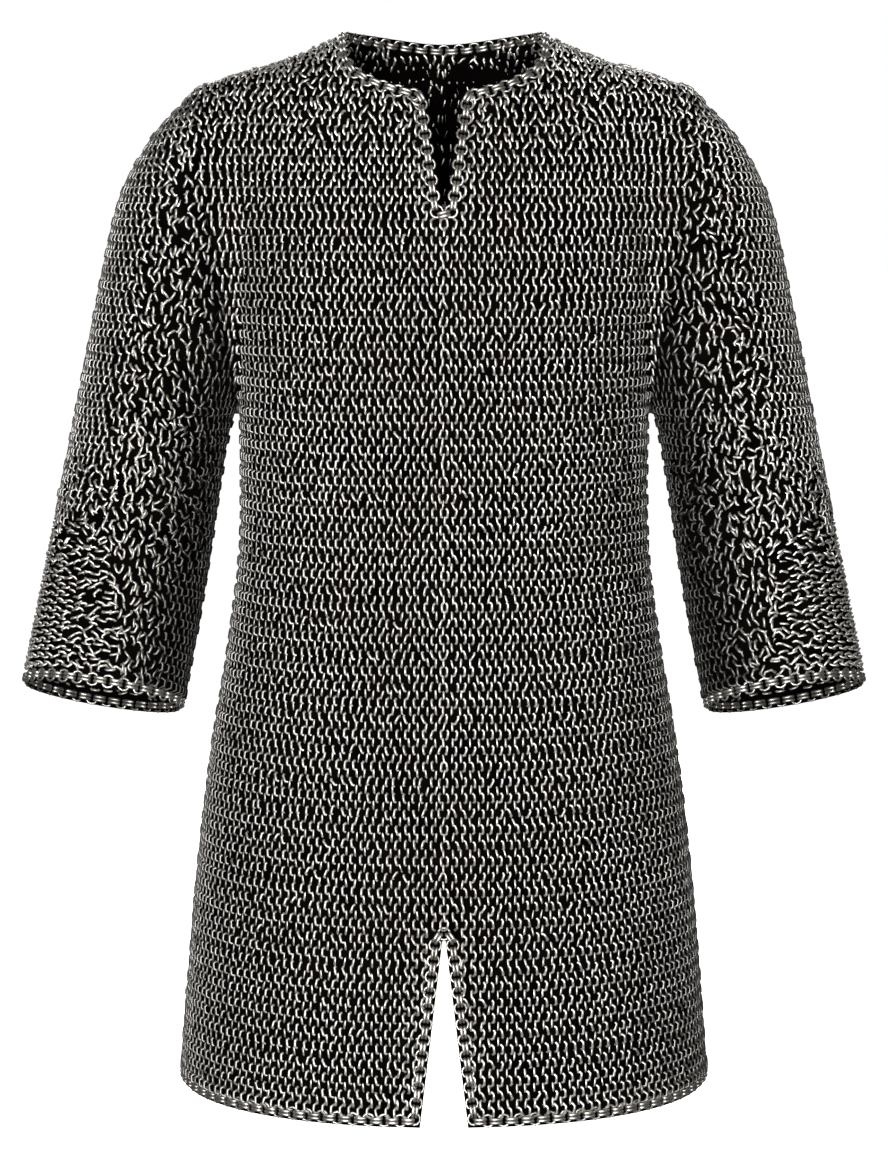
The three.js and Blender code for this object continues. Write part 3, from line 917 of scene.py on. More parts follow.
@dataclass
class FaceRows:
    """Lines of the weave on the +X half of one face, from hem to shoulder.

    Rows are level up to the chest. From the armpit up they run on over the sleeve to its outermost line. Over
    the shoulder they keep an even distance from the last level row, measured up the cloth.
    """

    form: ShirtForm
    pattern: RingPattern
    face: Face
    dome_z: float = -150  # where the level rows end
    cap_x: float = 215  # end of the shoulder
    anchor_x: float = 100  # where the columns over the shoulder hold their places
    trunk_points: int = 130
    chest_points: int = 200
    sleeve_points: int = 90
    dome_points: int = 110
    cap_points: int = 45
    rise_points: int = 110

    @property
    def seam_ring(self) -> int:
        """1 on the front, which has the rings on the line where the faces meet, and 0 on the back."""
        return int(self.face is Face.FRONT)

    def heights(self) -> Array:
        """Heights of the level rows."""
        return np.arange(self.form.hem_z + self.pattern.edge_margin, self.dome_z, self.pattern.row_pitch)

    def trunk_lines(self, heights: Array) -> Array:
        """Level lines below the armpit, from the middle to the side seam.

        Args:
            heights: Heights of the lines.

        Returns:
            Points by line.
        """
        z, turn = np.meshgrid(heights, np.linspace(0, math.pi / 2, self.trunk_points), indexing="ij")
        half_width, _, _, power = self.form.trunk.at(z)
        return self.form.level_points(z, half_width * np.sin(turn) ** (2 / power), self.face)

    def chest_lines(self, heights: Array) -> Array:
        """Level lines above the armpit: across the chest to the armhole, then round the sleeve's own middle.

        Args:
            heights: Heights of the lines.

        Returns:
            Points by line.
        """
        form, side = self.form, self.face.value
        z, share = np.meshgrid(heights, np.linspace(0, 1, self.chest_points), indexing="ij")
        feet = np.stack([form.armhole_x(z) * share, z * 0, z], axis=-1)
        chest = form.cast(feet, np.array([0, side, 0.0]), form.beyond)
        middle_x, middle_y, _, _ = form.sleeve.at(heights)
        middle = np.stack([middle_x, middle_y, heights], axis=-1)
        last = chest[:, -1] - middle
        start = np.arctan2(side * last[:, 1], last[:, 0])
        turn = start[:, None] * np.linspace(1, 0, self.sleeve_points)[1:]
        ways = np.stack([np.cos(turn), side * np.sin(turn), turn * 0], axis=-1)
        return np.concatenate([chest, form.cast(middle[:, None], ways)], axis=1)

    def dome_lines(self, first: float) -> list[Array]:
        """Lines over the shoulder.

        Meridians rise square to the last level row: side by side across the chest and the shoulder blade,
        then fanned about the end of the shoulder. A line joins points at one height up the meridians.

        Args:
            first: Height of the first line, measured up the cloth.

        Returns:
            Lines from the middle outwards.
        """
        form, side = self.form, self.face.value
        x = np.linspace(0, self.cap_x, self.dome_points)
        turn = np.linspace(math.pi / 2, 0, self.cap_points)[1:]
        across = np.r_[x, np.full_like(turn, self.cap_x)]
        feet = np.stack([across, across * 0, np.full_like(across, self.dome_z)], axis=-1)
        outwards, forwards = np.r_[x * 0, np.cos(turn)], np.r_[x * 0 + 1, np.sin(turn)]
        level = np.stack([outwards, side * forwards, across * 0], axis=-1)
        rise = np.linspace(0, math.pi / 2, self.rise_points)[:, None]
        ways = np.cos(rise) * level[:, None] + np.sin(rise) * np.array([0, 0, 1.0])
        points = form.cast(feet[:, None], ways)
        length = np.array([arc_length(meridian) for meridian in points])
        whole = length[np.argmax(x > self.anchor_x), -1]
        count = round((whole - first) / self.pattern.row_pitch + 0.5)
        up = first + (whole - first) / (count - 0.5) * np.arange(count)
        grid = np.array([along_line(meridian, run, up) for meridian, run in zip(points, length)])
        there = length[:, -1:] >= up
        there[: np.argmax(x > self.anchor_x)] = True
        stops = np.where(there.all(axis=0), len(across), np.argmin(there, axis=0))
        return [grid[:stop, k] for k, stop in enumerate(stops)]

    def dome_row(self, line: Array, row: int, phase: float) -> Weave:
        """Rings along one line over the shoulder.

        The columns hold their places up to the anchor. Past it the pitch is eased to fit the line's rest.

        Args:
            line: Points of the row's line.
            row: Number of the row.
            phase: Distance from the anchor to the next column of the odd rows.

        Returns:
            The rings, on the line.
        """
        pitch, length = self.pattern.pitch, arc_length(line)
        near = slice(self.dome_points)
        column = np.interp(self.anchor_x, line[near, 0], length[near]) + phase
        rest = length[-1] - column
        steps = max(1, round(rest / pitch))
        shift, end = (0, steps + self.seam_ring) if row % 2 else (0.5, steps)
        places = np.arange(-int(column / pitch + shift), end) + shift
        return row_weave(line, column + places * np.where(places < 0, pitch, rest / steps), row)

    def weave(self) -> Weave:
        """All rings of the half face, clear of the neck and of the skirt's slit.

        Returns:
            The rings, row by row from the hem up.
        """
        p = self.pattern
        heights = self.heights()
        low = heights <= self.form.armpit[2]
        lines = [*self.trunk_lines(heights[low]), *self.chest_lines(heights[~low])]
        parts = []
        for row, (z, line) in enumerate(zip(heights, lines)):
            parts.append(eased_row(line, p.pitch_at(z), row, last=self.seam_ring))
        anchor = np.interp(self.anchor_x, lines[-1][:, 0], arc_length(lines[-1]))
        first = heights[-1] + p.row_pitch - self.dome_z
        for row, line in enumerate(self.dome_lines(first), start=len(heights)):
            parts.append(self.dome_row(line, row, -anchor % p.pitch))
        return self.trimmed(Weave.joined(parts))

    def trimmed(self, weave: Weave) -> Weave:
        """Leaves out the rings in the neck opening and in the skirt's slit.

        Args:
            weave: Rings of the half face.

        Returns:
            Those that lie clear of both, or reach a little under their chains.
        """
        form, reach = self.form, self.pattern.edge_reach
        x, z = weave.edges[:, 0], weave.edges[:, 2]
        neck = form.neck_edge(self.face)
        in_neck = (x < form.neck_corner_x) & (z > np.interp(x, neck[:, 0], neck[:, 2]))
        gap = np.linalg.norm(weave.edges[:, None] - neck[None], axis=-1).min(axis=1)
        in_slit = (z < form.skirt_slit.closed_z) & (x < form.skirt_slit.half_at(z) - reach)
        return weave.only(~(in_neck & (gap > reach)) & ~in_slit)


@dataclass
class ArmRows:
    """Rows round the +X arm between armpit and cuff, from level to the cuff's tilt.

    On the outside of the forearm the weave is turned by a right angle, so that its rows run along the arm.
    """

    form: ShirtForm
    pattern: RingPattern
    top: float  # height of the first loop
    loop_points: int = 241
    turned_top: float = -445  # height of the line above the turned weave, on the outside
    turned_past_cuff: float = 20  # how far below the cuff that line sinks on the inner side
    turned_sides: tuple[float, float] = (math.radians(70), math.radians(118))  # between which it does so
    turned_columns: int = 64
    ragged: float = 12  # how far the line strays up and down
    ragged_waves: int = 9  # round the arm
    ragged_height: float = 13

    def loops(self, first: float, spacing: float) -> Array:
        """Closed lines round the arm from the outermost point by the front, evenly spaced to the cuff.

        Args:
            first: Height of the first loop's middle.
            spacing: Distance between loops along the arm.

        Returns:
            Points by loop and by angle.
        """
        form, margin = self.form, self.pattern.edge_margin
        end = np.array(form.cuff)
        begin = np.array([*form.sleeve.at(np.array(first))[:2], first])
        count = 1 + round((np.linalg.norm(end - begin) - margin) / spacing)
        z = np.linspace(first, end[2] + margin, count)
        share = (self.top - z) / (self.top - end[2] - margin)
        middle = np.stack([*form.sleeve.at(z)[:2], z], axis=-1)
        lean, tilt = form.cuff_lean * share, form.cuff_forward * share
        outward = np.stack([np.cos(lean), lean * 0, np.sin(lean)], axis=-1)
        forward = np.stack([tilt * 0, -np.cos(tilt), np.sin(tilt)], axis=-1)
        turn = np.linspace(0, 2 * math.pi, self.loop_points)[:, None]
        ways = outward[:, None] * np.cos(turn) + forward[:, None] * np.sin(turn)
        return form.cast(middle[:, None], ways)

    def turned(self, points: Array) -> Array:
        """Whether points lie where the weave is turned: below a ragged line that sinks inwards.

        Args:
            points: Points of the arm.

        Returns:
            True or false for each point.
        """
        x, y, z = points.T
        middle_x, middle_y, half_width, half_depth = self.form.sleeve.at(z)
        angle = np.arctan2((y - middle_y) / half_depth, (x - middle_x) / half_width)
        inner = smooth_step(np.abs(angle), *self.turned_sides)
        line = self.turned_top + (self.form.cuff[2] - self.turned_past_cuff - self.turned_top) * inner
        return z < line + self.ragged * np.sin(self.ragged_waves * angle) * np.cos(z / self.ragged_height)

    def weave(self, first_row: int) -> Weave:
        """All rings of the arm."""
        around, along = self.around(first_row), self.along()
        kept = (around.only(~self.turned(around.edges)), along.only(self.turned(along.edges)))
        return Weave.joined(list(kept))

    def around(self, first_row: int) -> Weave:
        """Rings in loops, which start on the front and back lines and run both ways from there.

        Args:
            first_row: Number of the first row. Whole cycles are added, so that the rows below it count down
                and stay above zero.

        Returns:
            The rings. Where two quarters meet, one of them has the ring on their line.
        """
        parts = []
        for j, loop in enumerate(self.loops(self.top, self.pattern.row_pitch)):
            outer, front, under, back, outer_again = (round(q * (len(loop) - 1) / 4) for q in range(5))
            row = first_row - j + self.pattern.slack_cycle * len(loop)
            quarters = (
                loop[outer : front + 1][::-1],
                loop[front : under + 1],
                loop[back : outer_again + 1],
                loop[under : back + 1][::-1],
            )
            for k, line in enumerate(quarters):
                parts.append(eased_row(line, self.pattern.pitch, row, first=k % 2, last=int(k < 2)))
        return Weave.joined(parts)

    def along(self) -> Weave:
        """Rings in columns that run up the arm, every other one shifted by half a pitch.

        Returns:
            The rings, from above the ragged line down to the cuff.
        """
        shares = np.arange(self.turned_columns) / self.turned_columns
        loops = self.loops(self.turned_top + self.ragged, self.pattern.pitch / 2)
        length = [arc_length(loop) for loop in loops]
        grid = np.array([along_line(loop, run, run[-1] * shares) for loop, run in zip(loops, length)])
        ways = unit(-np.gradient(grid, axis=0))
        k, c = np.meshgrid(np.arange(len(loops)), np.arange(self.turned_columns), indexing="ij")
        kept = (k + c) % 2 == 0
        return Weave(grid[kept], ways[kept], c[kept])


@dataclass
class Mail:
    """What panels and sleeves share: the form, the weave's pattern and the seeded unevenness of handwork."""

    form: ShirtForm
    pattern: RingPattern
    # The sheet is painted shadow: a near-black slab that stands for the shade in the weave's depth and, past
    # the edges, behind the chains.
    cover: float = 2.3  # how far the dark sheet's outer side lies above the middle surface
    bed: float = 4.4  # how far its inner side lies below the under rings' middles
    rim_depth: tuple[float, float] = (0.1, 0.4)  # of its outer and inner side at a rim
    edge_share: float = 0.5  # how thin it is at an edge that has a border
    border: float = 13.5  # how far it runs on behind a chain
    dice: np.random.Generator = field(default_factory=lambda: np.random.default_rng(SEED))

    def rings(
        self, name: str, weave: Weave, finish: bpy.types.Material, disorder: Array, tone_and_painted_shading: Array
    ) -> bpy.types.Object:
        """One joined mesh of rings.

        Each ring's plane holds the direction across its row and the row's own direction turned out of the
        cloth by the lean, to either side in alternate rows. Under rows lie deeper. Every row wanders to one
        side, and every ring is shifted, turned and leant a little more or less than it should be.

        Args:
            name: Name of the piece.
            weave: Its rings.
            finish: Its material.
            disorder: How uneven each ring lies, 1 for neat work.
            tone_and_painted_shading: Share of the steel's colour kept at each ring, lowered by painted shade.

        Returns:
            The piece.
        """
        p, under = self.pattern, weave.under
        count, slack = len(under), p.slack(weave.row)
        disorder = np.maximum(disorder, np.where(slack, p.slack_disorder, 1))
        way = np.where(under, -1, 1)
        back = p.wander * self.dice.normal(size=weave.row.max() + 1)[weave.row]
        back = back - way * p.radius * math.cos(p.lean) + under * p.under_shift
        middles = self.form.settle(weave.edges + weave.along * back[:, None])
        normal = self.form.normal(middles)
        recess = np.where(under, p.recess_at(middles), slack * p.slack_recess)
        across = unit(np.cross(normal, weave.along))
        along = np.cross(across, normal)
        aside, askew, deep = p.unevenness * disorder * self.dice.normal(size=(3, count))
        middles = middles + along * aside[:, None] + across * askew[:, None]
        middles = middles - normal * (recess + p.sinking * deep)[:, None]
        spin = (p.tumble * disorder * self.dice.normal(size=count))[:, None]
        cosine, sine = np.cos(spin), np.sin(spin)
        along, across = along * cosine + across * sine, across * cosine - along * sine
        lean = (way * p.lean + p.lean_tumble * disorder * self.dice.normal(size=count))[:, None]
        first = (along * np.cos(lean) + normal * np.sin(lean)) * way[:, None]
        sets, tone_and_shading_values = [], []
        for these, side, segments in ((~under, 1, p.upper_segments), (under, -1, p.under_segments)):
            plane = (middles[these], first[these], side * across[these])
            sets.append(torus_arrays(*plane, p.radius, p.wire, segments, p.sides))
            tone_and_shading_values.append(np.repeat(tone_and_painted_shading[these], segments * p.sides))
        vertices, faces = joined_grids(sets)
        made = mesh_object(name, vertices, faces, finish, np.concatenate(tone_and_shading_values))
        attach(made, "root")
        log.info("%s: %d rings, %d triangles", name, count, 2 * len(faces))
        return made

    def sheet(self, name: str, grid: "SheetGrid", finish: bpy.types.Material) -> bpy.types.Object:
        """Painted shadow: the near-black slab behind the rings that stands for the shade in the weave, thin
        along its rims.

        Its outer side hides all but the raised halves of the rings. Its inner side leaves only the deepest
        bends of the under rings in sight.

        Args:
            name: Name of the piece.
            grid: Its points on the middle surface.
            finish: Its material.

        Returns:
            The piece.
        """
        normal = self.form.normal(grid.points)
        deepest = self.pattern.recess_at(grid.points) + self.bed
        outer = np.where(grid.rim > 0, self.rim_depth[0], -self.cover)
        inner = deepest + (self.rim_depth[1] - deepest) * grid.rim
        vertices = np.concatenate([grid.points - normal * depth[:, None] for depth in (outer, inner)])
        made = mesh_object(name, vertices, grid.slab_faces(normal), finish)
        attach(made, "root")
        log.info("%s: %d faces", name, len(made.data.polygons))
        return made


@dataclass
class SheetGrid:
    """Points of a sheet on the middle surface, its quads, and how thin it is at the points: 1 on its rims."""

    points: Array
    faces: Array
    rim: Array

    @staticmethod
    def joined(grids: list["SheetGrid"]) -> "SheetGrid":
        """Several grids as one, with the points that they share merged.

        Args:
            grids: The grids.

        Returns:
            One grid, as thin at a shared point as the thinnest of them.
        """
        points, faces = joined_grids([(grid.points, grid.faces) for grid in grids])
        rim = np.concatenate([grid.rim for grid in grids])
        cells = np.round(points * MERGE_STEPS).astype(int)
        _, first, places = np.unique(cells, axis=0, return_index=True, return_inverse=True)
        places = places.ravel()
        merged = np.zeros(len(first))
        np.maximum.at(merged, places, rim)
        return SheetGrid(points[first], places[faces], merged)

    def mirror(self) -> "SheetGrid":
        """The same grid on the other side of the shirt."""
        return SheetGrid(mirrored(self.points), self.faces, self.rim)

    def slab_faces(self, normal: Array) -> Array:
        """Quads of a closed slab, whose outer points come first and inner points follow in the same order.

        Args:
            normal: Outward normals at the points.

        Returns:
            Outer quads, inner quads and a rim along every free edge, all facing out of the slab.
        """
        a, b, c, d = (self.points[self.faces[:, k]] for k in range(4))
        inward = np.sum(np.cross(c - a, d - b) * normal[self.faces[:, 0]], axis=1) < 0
        outer = np.where(inward[:, None], self.faces[:, ::-1], self.faces)
        start, end = outer.ravel(), np.roll(outer, -1, axis=1).ravel()
        count = len(self.points)
        edges = np.minimum(start, end) * count + np.maximum(start, end)
        _, places, uses = np.unique(edges, return_inverse=True, return_counts=True)
        free = uses[places.ravel()] == 1
        rim = np.stack([end[free], start[free], start[free] + count, end[free] + count], axis=-1)
        return np.concatenate([outer, outer[:, ::-1] + count, rim])


def joined_grids(grids: list[tuple[Array, Array]]) -> tuple[Array, Array]:
    """Points and quads of several grids as one."""
    starts = np.cumsum([0] + [len(points) for points, _ in grids])
    return (
        np.concatenate([points for points, _ in grids]),
        np.concatenate([faces + start for (_, faces), start in zip(grids, starts)]),
    )


@dataclass
class Panel:
    """Front or back of the trunk, between its side seams, armholes, neck and hem."""

    mail: Mail
    face: Face
    weave: Weave
    flat: tuple[float, float]
    flat_area: float
    collar_disorder: float = 2.6
    # Painted shade: rings towards the side seams keep this share of the steel's colour.
    side_painted_shading: float = 0.36
    side_turn: tuple[float, float] = (0.2, 0.85)  # sideways part of the normal over which the painted shade sets in
    columns: int = 27
    slit_steps: tuple[int, int] = (5, 8)
    level_steps: int = 27
    plain_steps: int = 21
    neck_steps: int = 20

    @property
    def name(self) -> str:
        """Name of the solid that this panel stands for."""
        return self.face.name.lower()

    @property
    def slit_heights(self) -> Array:
        """Heights of the rows beside the skirt's slit, from the hem up."""
        return self.mail.form.skirt_slit.heights(*self.slit_steps)[::-1]

    @property
    def shares(self) -> Array:
        """Places of a row's points, as shares of its width, closer together towards its outer end."""
        power = self.mail.form.trunk.at(self.mail.form.armpit[2])[3]
        return np.sin(np.linspace(0, math.pi / 2, self.columns)) ** (2 / power)

    def level_rows(self) -> Array:
        """Rows of the +X half up to the armpit, from the slit's edge or the middle to the side seam.

        Returns:
            Points by row, from the hem up.
        """
        form, closed_z = self.mail.form, self.mail.form.skirt_slit.closed_z
        plain = np.linspace(closed_z, form.armpit[2], self.level_steps + 1)[1:-1]
        heights = np.r_[self.slit_heights, plain]
        inner = np.where(heights <= closed_z, form.skirt_slit.half_at(heights), 0)[:, None]
        outer = form.trunk.at(heights)[0][:, None]
        wide = np.repeat(heights[:, None], self.columns, axis=1)
        return form.level_points(wide, inner + (outer - inner) * self.shares, self.face)

    def fan_rows(self) -> tuple[Array, int]:
        """Rows of the +X half above the armpit, from the middle or the neck's edge to the armhole.

        Returns:
            Points by row, from the armpit up, and the number of rows below the neck's edge.
        """
        form = self.mail.form
        neck_angles, neck_halves = form.neck_rows(self.face, self.neck_steps)
        plain = np.linspace(0, neck_angles[0], self.plain_steps + 1)[:-1]
        angles, inner = np.r_[plain, neck_angles], np.r_[plain * 0, neck_halves]
        cosine, sine = self.face.value * np.cos(angles), np.sin(angles)
        ways = np.stack([form.armhole_tilt * sine, cosine, sine], axis=-1)
        outer = form.cast(form.armpit, ways, form.beyond)
        outer[0] = form.armpit
        fan_x = inner[:, None] + (outer[:, 0] - inner)[:, None] * self.shares
        fan = form.fan_points(np.repeat(angles[:, None], self.columns, axis=1), fan_x, self.face)
        fan[:, -1] = outer
        return fan, len(plain)

    def sheet_grid(self) -> SheetGrid:
        """The whole panel's sheet, with a border past hem, slit and neck, behind their chains.

        Returns:
            One grid for both halves, which mirror each other.
        """
        form, level = self.mail.form, self.level_rows()
        fan, plain = self.fan_rows()
        half = np.concatenate([level, fan])
        slit, neck = slice(len(self.slit_heights)), slice(len(level) + plain, None)
        rim = np.zeros(half.shape[:2])
        rim[0] = rim[slit, 0] = rim[neck, 0] = self.mail.edge_share
        grids = [SheetGrid(half.reshape(-1, 3), grid_faces(*half.shape[:2]), rim.ravel())]
        skirt_edge = np.concatenate([half[0, ::-1], half[slit, 0][1:]])
        for edge, middle in ((skirt_edge, -1), (half[neck, 0], 0)):
            past = beside_edge(form, edge, self.mail.border, self.face.value, False)
            past[middle, 0] = 0
            points = np.concatenate([edge, past])
            edge_rim = np.repeat([self.mail.edge_share, 1], len(edge))
            grids.append(SheetGrid(points, grid_faces(2, len(edge)), edge_rim))
        return SheetGrid.joined(grids + [grid.mirror() for grid in grids])

    def halves(self) -> dict[Hand, Weave]:
        """The rings of each half. Those within a millimetre of the middle belong to the left one."""
        beside = self.weave.only(self.weave.edges[:, 0] > 1)
        return {Hand.LEFT: self.weave, Hand.RIGHT: beside.mirror()}

    def unevenness(self, weave: Weave) -> Array:
        """How uneven each ring lies: most round the collar."""
        below = self.mail.pattern.below_collar(weave.edges)
        return self.collar_disorder + (1 - self.collar_disorder) * below

    def tone_and_painted_shading(self, weave: Weave) -> Array:
        """Painted shade: the share of the steel's colour each ring keeps, less towards the side seams."""
        turned_out = np.abs(self.mail.form.normal(weave.edges)[:, 0])
        return 1 + (self.side_painted_shading - 1) * smooth_step(turned_out, *self.side_turn)

    def build(self, finishes: Finishes) -> None:
        """Makes the panel's sheet, and its rings in a piece for each side.

        Args:
            finishes: The shirt's materials.
        """
        # The panel's sheet piece is painted shadow, standing for the shade deep in the weave.
        sheet = self.mail.sheet(f"{self.name}_depth", self.sheet_grid(), finishes.depth)
        for hand, weave in self.halves().items():
            name = f"{self.name}_rings_{hand.name.lower()}"
            looks = (self.unevenness(weave), self.tone_and_painted_shading(weave))
            self.mail.rings(name, weave, finishes.mail, *looks)
        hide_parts(self.name)


@dataclass
class Sleeve:
    """A three-quarter sleeve from armhole to cuff."""

    mail: Mail
    hand: Hand
    weave: Weave
    flat: tuple[float, float]
    flat_area: float
    disorder: float = 4.2
    elbow: tuple[float, float, float, float] = (-350, -400, -470, -520)  # where its creases begin and end
    crease_heights: tuple[float, float] = (-60, -120)  # between which creases begin below the shoulder
    crease_depth: tuple[float, float] = (0, 40)  # in front of the arm's middle, where they begin
    crease_outer: tuple[float, float] = (0.2, 0.8)  # places across the sleeve between which they end
    crease_inner: tuple[float, float] = (0.5, 0.95)
    # Painted shade and painted light: shares of the steel's colour on the front, the inner side, the outside
    # of the upper arm and the outside of the forearm.
    front_painted_shading: float = 0.95
    inner_painted_shading: float = 0.08
    inner_fade: tuple[float, float] = (0, 0.85)
    outer_painted_shading: float = 0.45
    outer_fade: tuple[float, float] = (0.2, 0.85)
    forearm_painted_shading: float = 0.9
    forearm_heights: tuple[float, float] = (-430, -470)
    fan_rows: int = 14
    arm_rows: int = 16
    columns: int = 48

    @property
    def name(self) -> str:
        """Name of the solid that this sleeve stands for."""
        return f"sleeve_{self.hand.name.lower()}"

    def sheet_grid(self) -> SheetGrid:
        """The +X sleeve's sheet, with a border past the cuff.

        Returns:
            Its grid.
        """
        shares = np.arange(self.columns) / self.columns
        sections = self.mail.form.sleeve_sections(self.fan_rows, self.arm_rows, shares)
        past = beside_edge(self.mail.form, sections[-1], self.mail.border, -1, True)
        rows = np.concatenate([sections, past[None]])
        rim = np.zeros(rows.shape[:2])
        rim[-2], rim[-1] = self.mail.edge_share, 1
        return SheetGrid(rows.reshape(-1, 3), grid_faces(*rows.shape[:2], ring=True), rim.ravel())

    def outward(self) -> Array:
        """Place of each ring across the sleeve, from -1 on the inner side to 1 on the outer one."""
        middle_x, _, half_width, _ = self.mail.form.sleeve.at(self.weave.edges[:, 2])
        return (np.abs(self.weave.edges[:, 0]) - middle_x) / half_width

    def unevenness(self) -> Array:
        """How uneven each ring lies: most down the middle of the front and all across it at the elbow.

        Returns:
            1 for neat work, and more where the sleeve creases.
        """
        y, z = self.weave.edges[:, 1:].T
        outward = self.outward()
        front = smooth_step(self.mail.form.sleeve.at(z)[1] - y, *self.crease_depth)
        middle = 1 - smooth_step(outward, *self.crease_outer)
        middle = middle * (1 - smooth_step(-outward, *self.crease_inner))
        elbow = smooth_step(z, *self.elbow[:2]) * (1 - smooth_step(z, *self.elbow[2:]))
        creased = front * np.maximum(middle, elbow) * smooth_step(z, *self.crease_heights)
        return 1 + (self.disorder - 1) * creased

    def tone_and_painted_shading(self) -> Array:
        """Painted shade: the share of the steel's colour each ring keeps, least on the inner side, less on
        the outside of the upper arm.

        Returns:
            Shares of the steel's colour, as painted shade.
        """
        outward, z = self.outward(), self.weave.edges[:, 2]
        forearm = smooth_step(z, *self.forearm_heights)
        outer = self.outer_painted_shading + (self.forearm_painted_shading - self.outer_painted_shading) * forearm
        front = self.front_painted_shading
        inner = front + (self.inner_painted_shading - front) * smooth_step(-outward, *self.inner_fade)
        return inner + (outer - front) * smooth_step(outward, *self.outer_fade)

    def build(self, finishes: Finishes) -> None:
        """Makes the sleeve's sheet and rings.

        Args:
            finishes: The shirt's materials.
        """
        grid = self.sheet_grid()
        if self.hand is Hand.RIGHT:
            grid, self.weave = grid.mirror(), self.weave.mirror()
        # The sleeve's sheet piece is painted shadow, standing for the shade deep in the weave.
        sheet = self.mail.sheet(f"{self.name}_depth", grid, finishes.depth)
        looks = (self.unevenness(), self.tone_and_painted_shading())
        rings = self.mail.rings(f"{self.name}_rings", self.weave, finishes.mail, *looks)
        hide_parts(self.name)


@dataclass(frozen=True)
class LinkShape:
    """Links of the edging chains: a round one that lies flat on the cloth, then a pair of long ones that
    stand on edge, in turn.
    """

    radius: float = 5.6  # of a flat link's middle line
    wire: float = 1.1
    pair_half: float = 4.7  # half the length of a link on edge
    pair_wire: float = 1.55
    pair_flatness: float = 0.7
    pair_power: float = 0.45
    pair_gap: float = 1.65  # from the chain's line to either link of a pair
    segments: int = 10
    sides: int = 6
    pitch: float = 7.3
    offset: float = 7.3  # of the chain's line past the cloth's edge
    # An even, darker tone for all the links' steel, their own colour, carried by the same attribute.
    tone_and_painted_shading: float = 0.66


@dataclass
class EdgingChain:
    """A chain along one edge of the shirt, which stands for the solid of that name.

    The first link is a flat one or a pair. Those on the line's two ends are made or left to another chain.
    """

    form: ShirtForm
    name: str
    line: Array
    flat_first: bool
    ends: tuple[bool, bool]
    link: LinkShape = LinkShape()

    def build(self, finishes: Finishes) -> None:
        """Makes the chain's links at even steps of the line, flat ones and pairs on edge in turn.

        Args:
            finishes: The shirt's materials.
        """
        s = self.link
        length = arc_length(self.line)
        count = 2 * round(length[-1] / s.pitch / 2)
        numbers = np.arange(count + 1)[None if self.ends[0] else 1 : None if self.ends[1] else -1]
        step = length[-1] / count
        middles = along_line(self.line, length, numbers * step)
        half_on, half_back = (np.clip((numbers + way) * step, 0, length[-1]) for way in (0.5, -0.5))
        ahead, behind = (along_line(self.line, length, at) for at in (half_on, half_back))
        tangent = unit(ahead - behind)
        across = unit(np.cross(self.form.normal(middles), tangent))
        normal = np.cross(tangent, across)
        flat = (numbers % 2 == 0) == self.flat_first
        fineness, bend = (s.segments, s.sides), (s.pair_flatness, s.pair_power)
        sets = [torus_arrays(middles[flat], tangent[flat], across[flat], s.radius, s.wire, *fineness)]
        for way in (-1, 1):
            beside = middles[~flat] + way * s.pair_gap * across[~flat]
            plane = (beside, tangent[~flat], normal[~flat])
            sets.append(torus_arrays(*plane, s.pair_half, s.pair_wire, *fineness, *bend))
        vertices, faces = joined_grids(sets)
        tone_and_shading_values = np.full(len(vertices), s.tone_and_painted_shading)
        made = mesh_object(f"{self.name}_links", vertices, faces, finishes.chain, tone_and_shading_values)
        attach(made, "root")
        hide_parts(self.name)
        log.info("%s: %d links, %d triangles", made.name, len(flat) + np.sum(~flat), 2 * len(faces))


def beside_edge(form: ShirtForm, edge: Array, distance: float, side: float, closed: bool) -> Array:
    """A line beside an edge of the cloth, moved past it within the surface.

    The move is along the mean of the edge's two neighbouring normals in the surface, lengthened at a corner
    so that it keeps its distance from both sides.

    Args:
        form: The shirt's form.
        edge: Points of the edge.
        distance: How far past the edge.
        side: 1 or -1, the side of the edge's direction on which the cloth ends.
        closed: Whether the edge is a loop.

    Returns:
        Points on the surface, one for each of the edge's.
    """
    before, after = np.roll(edge, 1, axis=0), np.roll(edge, -1, axis=0)
    if not closed:
        before[0], after[-1] = 2 * edge[0] - edge[1], 2 * edge[-1] - edge[-2]
    normal = form.normal(edge)
    first = side * unit(np.cross(edge - before, normal))
    second = side * unit(np.cross(after - edge, normal))
    away = unit(first + second)
    corner = np.maximum(SHARPEST_CORNER, np.sum(away * first, axis=1, keepdims=True))
    return form.settle(edge + away * distance / corner)


